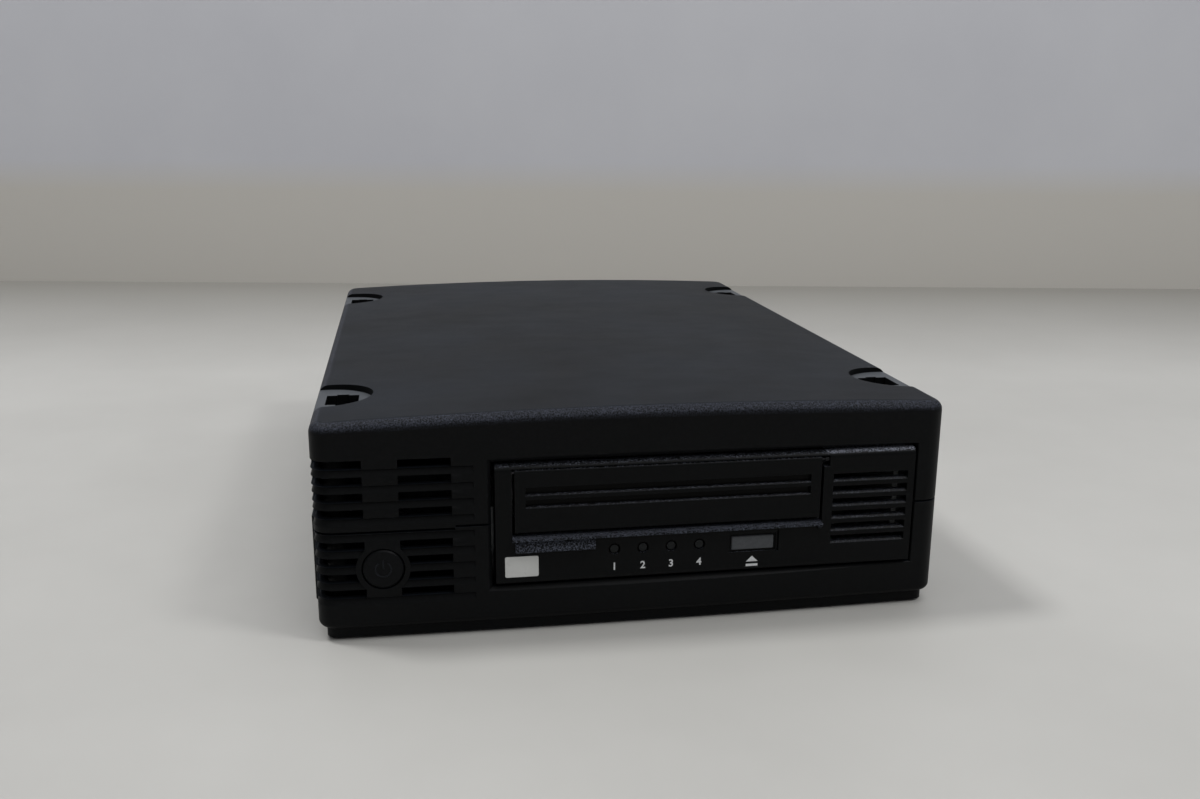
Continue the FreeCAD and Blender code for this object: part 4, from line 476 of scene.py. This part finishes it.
def makeMaterials():
    made = {
        "case_plastic": caseMaterial(),
        "bezel_plastic": bezelMaterial(),
        # buttons: the case's ABS with a finer grain, worn only at the rim
        "button_plastic": mouldedPlastic("buttonAbs", "#0b0c0d", "#101113", 0.42, 0.45, 0.025, 0.3)[0],
        "eject_plastic": mouldedPlastic("ejectGreyAbs", "#47494c", "#505255", 0.42, 0.5, 0.02, 0.2,
                                        "#8a8c92")[0],
        "badge_plastic": smoothPlastic("badgeSatinAbs", "#bdbebc", "#c8c9c7", 0.32),
        # glass-filled nylon: duller than ABS, hardly worn, as no hand reaches it
        "switch_plastic": mouldedPlastic("switchGlassNylon", "#18181a", "#202022", 0.5, 0.3, 0.02, 0.1)[0],
        "fan_plastic": mouldedPlastic("fanGlassNylon", "#141416", "#1c1c1f", 0.45, 0.5, 0.02, 0.1)[0],
        # hard glossy reel, and loader pieces in waxy white acetal
        "reel_plastic": smoothPlastic("reelPolycarbonate", "#2a2b2e", "#303236", 0.2, 1.58),
        "acetal_plastic": smoothPlastic("loaderAcetal", "#dcdad2", "#e6e4dc", 0.35, 1.48),
        "foot_rubber": rubberMaterial("footRubber", "#161617"),
        "cable_jacket": rubberMaterial("cablePvc", "#222224"),
        "light_pipe": clearPlastic("lightPipeAcrylic"),
        # plated and blacked steels without a rolling direction
        "screw_steel": sheetMetal("screwZincSteel", "#b9bbbd", "#9c9ea0", 0.3, 0.3, (1, 1, 1), 0.004),
        "spring_steel": sheetMetal("springBlackedWire", "#3c3c3e", "#2e2e30", 0.35, 0.3, (1, 1, 1), 0.003),
        # bright sheets with the lines of their rolling
        "sheet_steel": sheetMetal("galvanisedSheet", "#b6b9bb", "#9fa3a6", 0.32),
        "motor_steel": sheetMetal("motorCanSteel", "#a9abb0", "#8f9196", 0.28),
        "supply_metal": sheetMetal("supplyBlackedSheet", "#2c2e30", "#232527", 0.5),
        "connector_shell": sheetMetal("portTinPlate", "#c4c5c6", "#aeb0b1", 0.22, 0.4),
        # ground round the roller, and lapped along the head's face
        "roller_steel": sheetMetal("rollerGroundSteel", "#cfd0d2", "#b9babc", 0.15, 0.2, (1, 1, 0.1), 0.002),
        "head_metal": sheetMetal("headLappedFerrite", "#7f8186", "#66686d", 0.2, 0.3, (1, 1, 0.05), 0.002),
        "cast_aluminium": castMetal("chassisDieCast", "#b1b3b5", "#a0a2a4"),
        "panel_metal": powderCoat("panelPowderCoat", "#222327", "#2a2b30"),
        "circuit_board": circuitBoard("boardSolderMask", "#12442a", "#2c6b3f"),
    }
    for item in frame["record"]["subparts"]:
        node = nodes[item["node"]]
        node.data.materials.clear()
        node.data.materials.append(made[item["material_slot"]])
    return made


finishes = makeMaterials()
print("materials on", len(nodes), "nodes")


def addObject(name, data):
    made = bpy.data.objects.new(name, data)
    bpy.context.scene.collection.objects.link(made)
    return made


def plainMesh(holder):
    # what the holder's curve or modifier makes, as a plain mesh
    bpy.context.view_layer.update()
    return bpy.data.meshes.new_from_object(holder.evaluated_get(bpy.context.evaluated_depsgraph_get()))


def newPiece(name, mesh, body, material):
    piece = addObject(name, mesh)
    mesh.materials.clear()
    mesh.materials.append(material)
    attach(piece, body)
    return piece


def meshFrom(bm, name):
    bmesh.ops.recalc_face_normals(bm, faces=bm.faces)
    mesh = bpy.data.meshes.new(name)
    bm.to_mesh(mesh)
    bm.free()
    return mesh


def flatMark(outlines, y, thickness):
    # closed outlines of (x, z) points given a thickness, front at y
    bm = bmesh.new()
    for outline in outlines:
        front = [bm.verts.new((x, y, z)) for x, z in outline]
        back = [bm.verts.new((x, y + thickness, z)) for x, z in outline]
        bm.faces.new(front)
        bm.faces.new(list(reversed(back)))
        for i in range(len(front)):
            j = (i + 1) % len(front)
            bm.faces.new((front[j], front[i], back[i], back[j]))
    return bm


def arcOutline(cx, cz, inner, outer, startDeg, endDeg, steps=40):
    angles = [math.radians(startDeg + (endDeg - startDeg) * i / steps) for i in range(steps + 1)]
    points = [(cx + outer * math.cos(a), cz + outer * math.sin(a)) for a in angles]
    return points + [(cx + inner * math.cos(a), cz + inner * math.sin(a)) for a in reversed(angles)]


def barOutline(x0, x1, z0, z1):
    return [(x0, z0), (x1, z0), (x1, z1), (x0, z1)]


powerMark = {
    "radius": 2.6 * mm, "line": 0.55 * mm, "gapDeg": 34, "barLength": 3.0 * mm,
    "proud": 0.14 * mm, "sunk": 0.02 * mm,
}


def powerSymbol():
    centre = middle("power_button")
    r, w, gap = powerMark["radius"], powerMark["line"], powerMark["gapDeg"]
    ring = arcOutline(centre.x, centre.z, r - w / 2, r + w / 2, 90 + gap, 450 - gap)
    top = centre.z + r + w
    bar = barOutline(centre.x - w / 2, centre.x + w / 2, top - powerMark["barLength"], top)
    face = low("power_button").y - powerMark["proud"]
    bm = flatMark([ring, bar], face, powerMark["proud"] + powerMark["sunk"])
    # the symbol is painted a little paler than its button, as a stand-in for the highlights on its raised
    # edges
    material = mouldedPlastic("powerMarkAbs", "#16181b", "#202226", 0.35, 0.4, 0.01, 0.1)[0]
    newPiece("power_symbol", meshFrom(bm, "power_symbol"), "power_button", material)


printLook = {
    "ink": "#d6d8da", "thinInk": "#b2b4b6", "gapMm": 0.3, "inkHeightMm": 0.01,
    "thick": 0.02 * mm,
    "numberHeight": 2.6 * mm, "figureShare": 0.7,   # figure's height in the font's own
    "numberDrop": 7.6 * mm,                         # lens's middle to the number's foot
    "bold": 0.07 * mm,
    "ejectHalf": 2.15 * mm, "ejectDrop": 4.1 * mm, "ejectHeight": 2.1 * mm,
    "ejectBar": (1.75 * mm, 0.85 * mm),             # bar's foot and top under the triangle
}


def inkMaterial():
    # pad-printed ink, thin and a little broken by the grain under it
    material, tree, shader, coords = startMaterial("padPrintInk")
    gaps = blotches(tree, coords, printLook["gapMm"], (0.35, 0.6), 3, 0.7)
    paint(tree, shader, gaps, printLook["ink"], printLook["thinInk"])
    shader.inputs["Roughness"].default_value = 0.5
    addRelief(tree, shader, gaps, printLook["inkHeightMm"])
    return material


def ejectSymbol(ink):
    thick, half = printLook["thick"], printLook["ejectHalf"]
    x = middle("eject_button").x
    base = low("eject_button").z - printLook["ejectDrop"]
    triangle = [(x - half, base), (x + half, base), (x, base + printLook["ejectHeight"])]
    foot, top = printLook["ejectBar"]
    bar = barOutline(x - half, x + half, base - foot, base - top)
    bm = flatMark([triangle, bar], low("cartridge_door").y - thick, thick * 1.5)
    newPiece("eject_symbol", meshFrom(bm, "eject_symbol"), "case", ink)


def indicatorNumbers(ink):
    first, last, pitch = lensRow()
    thick = printLook["thick"]
    y = low("cartridge_door").y - thick * 0.25
    z = middle("indicator_light_pipe").z - printLook["numberDrop"]
    joined = bmesh.new()
    for i in range(indicatorLook["count"]):
        curve = bpy.data.curves.new("number%d" % (i + 1), "FONT")
        curve.body = str(i + 1)
        curve.size = printLook["numberHeight"] / printLook["figureShare"]
        curve.align_x = "CENTER"
        curve.extrude = thick * 0.75
        curve.offset = printLook["bold"]
        holder = addObject("number", curve)
        mesh = plainMesh(holder)
        upright = Matrix.Rotation(math.pi / 2, 4, "X")
        mesh.transform(Matrix.Translation((first + pitch * i, y, z)) @ upright)
        joined.from_mesh(mesh)
        bpy.data.objects.remove(holder)
    newPiece("indicator_numbers", meshFrom(joined, "indicator_numbers"), "case", ink)


def springPiece(name, points, wire, node):
    # round wire through the points, in place of the spring's plain sleeve
    curve = bpy.data.curves.new(name, "CURVE")
    curve.dimensions = "3D"
    curve.bevel_depth = wire
    curve.bevel_resolution = 2
    curve.use_fill_caps = True
    spline = curve.splines.new("POLY")
    spline.points.add(len(points) - 1)
    for point, place in zip(spline.points, points):
        point.co = (*place, 1)
    holder = addObject(name, curve)
    mesh = plainMesh(holder)
    bpy.data.objects.remove(holder)
    mesh.polygons.foreach_set("use_smooth", [True] * len(mesh.polygons))
    piece = newPiece(name, mesh, "case", finishes["spring_steel"])
    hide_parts(node)
    return piece


powerSpringLook = {
    "turns": 5, "steps": 24,
    "wire": 0.32 * mm,      # wire's radius
    "closeEnds": 0.3,       # how far the end coils are drawn together
}


def powerSpring():
    node = "power_button_spring"
    start, end, centre = low(node), high(node), middle(node)
    wire, turns, close = (powerSpringLook[k] for k in ("wire", "turns", "closeEnds"))
    radius = (end.x - start.x) / 2 - wire
    total = turns * powerSpringLook["steps"]
    points = []
    for i in range(total + 1):
        t = i / total
        along = (1 - close) * t + close * (0.5 - 0.5 * math.cos(math.pi * t))
        y = start.y + wire + (end.y - start.y - 2 * wire) * along
        angle = 2 * math.pi * turns * t
        points.append((centre.x + radius * math.cos(angle), y, centre.z + radius * math.sin(angle)))
    piece = springPiece("power_spring_coil", points, wire, node)
    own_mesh(piece)


doorSpringLook = {
    "turns": 3.5, "steps": 20,
    "wire": 0.18 * mm,      # wire's radius
    "radius": 0.77 * mm, "width": 1.6 * mm,
}


def doorSpring():
    # coils round the hinge pin, then one long leg down behind the flap
    pin, start, end = middle("door_hinge_pin"), low("door_spring"), high("door_spring")
    wire, radius, turns, width = (doorSpringLook[k] for k in ("wire", "radius", "turns", "width"))
    total = int(turns * doorSpringLook["steps"])
    points = [(end.x - wire, pin.y, end.z - wire)]
    for i in range(total + 1):
        t = i / total
        angle = math.pi / 2 - 2 * math.pi * turns * t
        x = end.x - wire - (width - 2 * wire) * t
        points.append((x, pin.y + radius * math.cos(angle), pin.z + radius * math.sin(angle)))
    inner, leg = end.x - width, end.y - wire
    points.append((inner + wire, leg, start.z + wire * 2))
    points.append((inner, leg, start.z + wire))
    points.append((start.x, leg, start.z + wire))
    springPiece("door_spring_coil", points, wire, "door_spring")


def treeSizes(look):
    # the sizes with a capital are the named inputs of the piece's Geometry Nodes tree
    return {label: value for label, value in look.items() if label[0].isupper()}


def patternTree(name, look):
    tree = bpy.data.node_groups.new(name, "GeometryNodeTree")
    for way in ("INPUT", "OUTPUT"):
        tree.interface.new_socket("Geometry", in_out=way, socket_type="NodeSocketGeometry")
    for label, value in treeSizes(look).items():
        kind = "NodeSocketInt" if isinstance(value, int) else "NodeSocketFloat"
        tree.interface.new_socket(label, in_out="INPUT", socket_type=kind)
    return tree, tree.nodes.new("NodeGroupInput").outputs


def sizedBlock(tree, x, y, z):
    size = addNode(tree, "ShaderNodeCombineXYZ", {0: x, 1: y, 2: z}).outputs[0]
    return addNode(tree, "GeometryNodeMeshCube", {"Size": size}).outputs[0]


def endTree(tree, points, shape, material, **placing):
    # the shape at each point, made real and given its material
    inputs = {"Points": points, "Instance": shape}
    inputs.update((name.capitalize(), socket) for name, socket in placing.items())
    placed = addNode(tree, "GeometryNodeInstanceOnPoints", inputs).outputs[0]
    solid = addNode(tree, "GeometryNodeRealizeInstances", {0: placed}).outputs[0]
    painted = addNode(tree, "GeometryNodeSetMaterial", {"Geometry": solid, "Material": material}).outputs[0]
    tree.links.new(painted, tree.nodes.new("NodeGroupOutput").inputs[0])
    return tree


def patternMesh(name, places, tree, look):
    # the tree's result as a plain mesh, one copy of its shape at each place
    seeds = bpy.data.meshes.new(name + "_places")
    seeds.from_pydata(places, [], [])
    holder = addObject(name + "_places", seeds)
    modifier = holder.modifiers.new("pattern", "NODES")
    modifier.node_group = tree
    sizes = treeSizes(look)
    for item in tree.interface.items_tree:
        if item.in_out == "INPUT" and item.name in sizes:
            modifier[item.identifier] = sizes[item.name]
    mesh = plainMesh(holder)
    holder.modifiers.remove(modifier)
    bpy.data.objects.remove(holder)
    mesh.name = name
    return mesh


contactLook = {
    "Count": 13, "Pitch": 0.8 * mm, "Width": 0.42 * mm, "Length": 4.2 * mm, "Thickness": 0.1 * mm,
    "inset": 0.3 * mm,          # tongue's end to the pads'
    "sunk": 0.4,                # middle of a pad over the nylon, as a share of its thickness
}
tongueLook = {
    "sideRoom": 6.0 * mm,       # flange's end to the tongue's
    "drop": 1.6 * mm,           # port's middle to the tongue's
    "thick": 1.4 * mm, "rearRoom": 1.2 * mm, "setback": 5.0 * mm,
    "skin": 0.06 * mm,          # nylon over the connector's own metal
    "corner": 0.2 * mm,
}


def contactTree(material):
    tree, given = patternTree("contactRow", contactLook)
    half = addNode(tree, "ShaderNodeMath", {0: given["Count"], 1: 1}, operation="SUBTRACT").outputs[0]
    for factor in (given["Pitch"], -0.5):
        half = addNode(tree, "ShaderNodeMath", {0: half, 1: factor}, operation="MULTIPLY").outputs[0]
    start, step = (addNode(tree, "ShaderNodeCombineXYZ", {0: x}).outputs[0] for x in (half, given["Pitch"]))
    line = addNode(tree, "GeometryNodeMeshLine", {
        "Count": given["Count"], "Start Location": start, "Offset": step}).outputs[0]
    pad = sizedBlock(tree, given["Width"], given["Length"], given["Thickness"])
    row = addNode(tree, "GeometryNodeInstanceOnPoints", {"Points": line, "Instance": pad}).outputs[0]
    return endTree(tree, given["Geometry"], row, material)


def portContacts():
    # black nylon on the data port's tongue, with two rows of gilt contact pads
    start, end, centre = (place("data_connector") for place in (low, high, middle))
    skin = tongueLook["skin"]
    width = end.x - start.x - 2 * (tongueLook["sideRoom"] - skin)
    halfThick = tongueLook["thick"] / 2 + skin
    z = centre.z - tongueLook["drop"]
    rear, tip = start.y + tongueLook["rearRoom"], end.y - tongueLook["setback"] + skin
    bm = bmesh.new()
    bmesh.ops.create_cube(bm, size=1.0)
    bmesh.ops.scale(bm, vec=(width, tip - rear, 2 * halfThick), verts=bm.verts)
    bmesh.ops.translate(bm, vec=(centre.x, (rear + tip) / 2, z), verts=bm.verts)
    bmesh.ops.bevel(bm, geom=bm.edges[:], offset=tongueLook["corner"], segments=2, affect="EDGES")
    nylon = finishes["switch_plastic"]
    newPiece("port_tongue", meshFrom(bm, "port_tongue"), "case", nylon)
    # gilt over copper: bright warm pads, faintly lined along their length
    gilt = sheetMetal("contactGiltCopper", "#d9b45f", "#c39a48", 0.18, 0.2, (1, 0.1, 1), 0.002)
    y = tip - contactLook["inset"] - contactLook["Length"] / 2
    rise = halfThick + contactLook["Thickness"] * contactLook["sunk"]
    places = [(centre.x, y, z + rise), (centre.x, y, z - rise)]
    mesh = patternMesh("port_contacts", places, contactTree(gilt), contactLook)
    newPiece("port_contacts", mesh, "case", gilt)


bladeLook = {
    "Width": 2.1 * mm, "Length": 12.0 * mm, "Height": 4.1 * mm,
    "setback": 1.45 * mm,       # inlet's rear face to the blades' tips
    "chamfer": 0.5 * mm,
    "across": 7.0 * mm, "up": 2.0 * mm,
}


def bladeTree(material):
    tree, given = patternTree("inletBlade", bladeLook)
    blade = sizedBlock(tree, given["Width"], given["Length"], given["Height"])
    return endTree(tree, given["Geometry"], blade, material)


def inletBlades():
    # nickelled brass blades over the mains inlet's three pins, their tips chamfered
    centre = middle("mains_inlet")
    tip = high("mains_inlet").y - bladeLook["setback"]
    y = tip - bladeLook["Length"] / 2
    across, up = bladeLook["across"], bladeLook["up"]
    places = [(centre.x + dx, y, centre.z + dz) for dx, dz in ((-across, -up), (0, up), (across, -up))]
    nickel = sheetMetal("bladeNickelBrass", "#c9c5ba", "#b0aca2", 0.22, 0.3, (1, 0.1, 1), 0.003)
    bm = bmesh.new()
    bm.from_mesh(patternMesh("inlet_blades", places, bladeTree(nickel), bladeLook))
    tips = [e for e in bm.edges if all(abs(v.co.y - tip) < 0.01 * mm for v in e.verts)]
    bmesh.ops.bevel(bm, geom=tips, offset=bladeLook["chamfer"], segments=2, affect="EDGES")
    newPiece("inlet_blades", meshFrom(bm, "inlet_blades"), "case", nickel)


chipLook = {
    "Length": 1.8 * mm, "Width": 1.0 * mm, "Height": 0.7 * mm, "Seed": 7,
    "filled": 0.62,             # share of the places that hold a chip
    "smallest": 0.6, "largest": 1.3,
    "spacing": 3.4 * mm,
    "margin": 3.0 * mm,         # bare strip left round the board's edge
    "boardThick": 1.6 * mm,
    "headroom": 1.9 * mm,
}


def chipTree(material):
    tree, given = patternTree("boardChips", chipLook)
    block = sizedBlock(tree, given["Length"], given["Width"], given["Height"])
    seed = given["Seed"]
    kept = addNode(tree, "FunctionNodeRandomValue", {"Seed": seed}, data_type="BOOLEAN")
    kept.inputs["Probability"].default_value = chipLook["filled"]
    quarter = addNode(tree, "FunctionNodeRandomValue", {"Seed": seed, 4: 0, 5: 3}, data_type="INT").outputs[2]
    turn = addNode(tree, "ShaderNodeMath", {0: quarter, 1: math.pi / 2}, operation="MULTIPLY").outputs[0]
    turned = addNode(tree, "ShaderNodeCombineXYZ", {2: turn}).outputs[0]
    grow = addNode(tree, "FunctionNodeRandomValue", {
        "Seed": seed, 2: chipLook["smallest"], 3: chipLook["largest"]}, data_type="FLOAT").outputs[1]
    spread = addNode(tree, "ShaderNodeCombineXYZ", {0: grow, 1: grow, 2: 1.0}).outputs[0]
    return endTree(tree, given["Geometry"], block, material,
                   selection=kept.outputs[3], rotation=turned, scale=spread)


def clearPlaces(node, others, z, spacing, margin, headroom):
    # grid points where the board's upper face is bare and nothing stands just above it
    start, end = low(node), high(node)
    shapes = [BVHTree.FromPolygons([v.co[:] for v in nodes[n].data.vertices],
                                   [p.vertices[:] for p in nodes[n].data.polygons]) for n in [node] + others]
    lift = Vector((0, 0, headroom))
    places = []
    for i in range(int((end.x - start.x - 2 * margin) / spacing) + 1):
        for j in range(int((end.y - start.y - 2 * margin) / spacing) + 1):
            place = Vector((start.x + margin + i * spacing, start.y + margin + j * spacing, z))
            near = [shape.find_nearest(place + lift, headroom * 0.95)[0] for shape in shapes]
            under = shapes[0].ray_cast(place + lift, Vector((0, 0, -1)), headroom * 1.1)[0]
            if under is not None and all(spot is None for spot in near):
                places.append(place)
    return places


def boardChips():
    # ceramic and resin chips soldered over the drive's main board
    level = low("drive_board").z + chipLook["boardThick"]
    spacing, margin, headroom = (chipLook[k] for k in ("spacing", "margin", "headroom"))
    places = clearPlaces("drive_board", ["drive_chassis", "drive_connector"], level,
                         spacing, margin, headroom)
    half = Vector((0, 0, chipLook["Height"] / 2))
    ceramic = smoothPlastic("chipCeramic", "#3a332b", "#57493a", 0.45)
    mesh = patternMesh("board_chips", [p + half for p in places], chipTree(ceramic), chipLook)
    newPiece("board_chips", mesh, "case", ceramic)


ink = inkMaterial()
portContacts()
inletBlades()
boardChips()
powerSymbol()
ejectSymbol(ink)
indicatorNumbers(ink)
powerSpring()
doorSpring()
print("marks and springs made")

stageLook = {
    # the floor's foot colour is painted shade near the wall
    "floor": {"colour": "#b5b4b0", "worn": "#c0bfbb", "foot": "#8b8984",
              "from": -0.42, "to": -0.01, "axis": 1},
    "wall": {"colour": "#bfc0c6", "worn": "#c6c7cc", "foot": "#c2bfb9",
             "from": 0.125, "to": 0.095, "axis": 2},
    "scuff": "#77766f", "scuffMm": 14, "scuffLevels": (0.70, 0.76), "scuffShare": 0.35,
    "toneMm": 300,
    "middle": (0.121, 0.650),      # where the wall's foot passes behind the object, in metres
    "turnDeg": -9.9,
    "halfWide": 6.0, "near": -5.0, "tall": 3.0,
}


def stageMaterial(name, look, scuffs):
    # smooth painted surface, a little scuffed; painted shade darkens the floor towards the wall's foot, and
    # the wall's lowest band takes a warmer tone
    material, tree, shader, coords = startMaterial(name)
    cloud = blotches(tree, coords, stageLook["toneMm"], (0.35, 0.7), 5, 0.6)
    paint(tree, shader, cloud, look["worn"], look["colour"])
    along = addNode(tree, "ShaderNodeSeparateXYZ", {0: coords}).outputs[look["axis"]]
    towards = addNode(tree, "ShaderNodeMapRange", {0: along, 1: look["from"], 2: look["to"]}).outputs[0]
    # painted shade on the floor, deepening towards the wall; on the wall a warmer band at its foot
    paint(tree, shader, towards, look["foot"])
    if scuffs:
        marks = blotches(tree, coords, stageLook["scuffMm"], stageLook["scuffLevels"], 8, 0.8, (1, 3, 1),
                         (0, stageLook["scuffShare"]))
        paint(tree, shader, marks, stageLook["scuff"])
    shader.inputs["Roughness"].default_value = 0.55
    return material


def stagePlane(name, corners, material):
    # drawn about the middle of the wall's foot, then turned and set down there
    mesh = bpy.data.meshes.new(name)
    mesh.from_pydata(corners, [], [tuple(range(len(corners)))])
    mesh.materials.append(material)
    plane = addObject(name, mesh)
    plane.matrix_world = (Matrix.Translation((*stageLook["middle"], 0))
                          @ Matrix.Rotation(math.radians(stageLook["turnDeg"]), 4, "Z"))
    return plane


def makeStage():
    wide, near, tall = (stageLook[k] for k in ("halfWide", "near", "tall"))
    floor = stagePlane("floor", [(-wide, near, 0), (wide, near, 0), (wide, 0, 0), (-wide, 0, 0)],
                       stageMaterial("paintedFloor", stageLook["floor"], True))
    wall = stagePlane("wall", [(-wide, 0, 0), (wide, 0, 0), (wide, 0, tall), (-wide, 0, tall)],
                      stageMaterial("paintedWall", stageLook["wall"], False))


lampLook = {
    "right": {"place": (1.0, -0.72, 1.57), "size": (0.35, 0.35), "watts": 8.5},
    "left": {"place": (-0.85, 0.2, 1.8), "size": (0.35, 0.35), "watts": 15},
    "overhead": {"place": (0.35, -0.2, 2.1), "size": (1.6, 1.2), "watts": 11.5},
    "front": {"place": (0.2, -1.5, 1.5), "size": (1.6, 0.8), "watts": 5},
}
roomLook = {"colour": "#cfd0d2", "strength": 0.38}


def makeLights():
    for name, look in lampLook.items():
        lamp = bpy.data.lights.new(name, "AREA")
        lamp.shape = "RECTANGLE"
        lamp.size, lamp.size_y = look["size"]
        lamp.energy = look["watts"]
        towards = -Vector(look["place"])        # all aimed at the object's foot
        turn = towards.to_track_quat("-Z", "Y").to_matrix().to_4x4()
        addObject(name, lamp).matrix_world = Matrix.Translation(look["place"]) @ turn
    world = bpy.data.worlds.new("softRoom")
    world.use_nodes = True
    background = world.node_tree.nodes["Background"]
    background.inputs["Color"].default_value = linearColour(roomLook["colour"])
    background.inputs["Strength"].default_value = roomLook["strength"]
    bpy.context.scene.world = world


cameraLook = {
    "place": (-76.39, -359.14, 174.12),     # mm from the front's middle on the ground
    "yawDeg": 9.723,
    "pitchDeg": 14.188,
    "rollDeg": 0.373,
    "lensMm": 34.05,
    "sensorMm": 36,
    "nearest": 0.01, "farthest": 50,        # metres
}


def makeCamera():
    data = bpy.data.cameras.new("camera")
    data.lens = cameraLook["lensMm"]
    data.sensor_width = cameraLook["sensorMm"]
    data.clip_start, data.clip_end = cameraLook["nearest"], cameraLook["farthest"]
    yaw, pitch, roll = (math.radians(cameraLook[k]) for k in ("yawDeg", "pitchDeg", "rollDeg"))
    forward = Vector((math.sin(yaw) * math.cos(pitch), math.cos(yaw) * math.cos(pitch), -math.sin(pitch)))
    right = Vector((math.cos(yaw), -math.sin(yaw), 0))
    up = right.cross(forward)
    right, up = (math.cos(roll) * right + math.sin(roll) * up, math.cos(roll) * up - math.sin(roll) * right)
    turn = Matrix((right, up, -forward)).transposed().to_4x4()
    place = Vector(cameraLook["place"]) * mm
    place.y += low("cartridge_door").y
    camera = addObject("camera", data)
    camera.matrix_world = Matrix.Translation(place) @ turn
    bpy.context.scene.camera = camera


makeStage()
makeLights()
makeCamera()
bpy.context.scene.view_settings.view_transform = "Standard"
print("stage, lights and camera set")
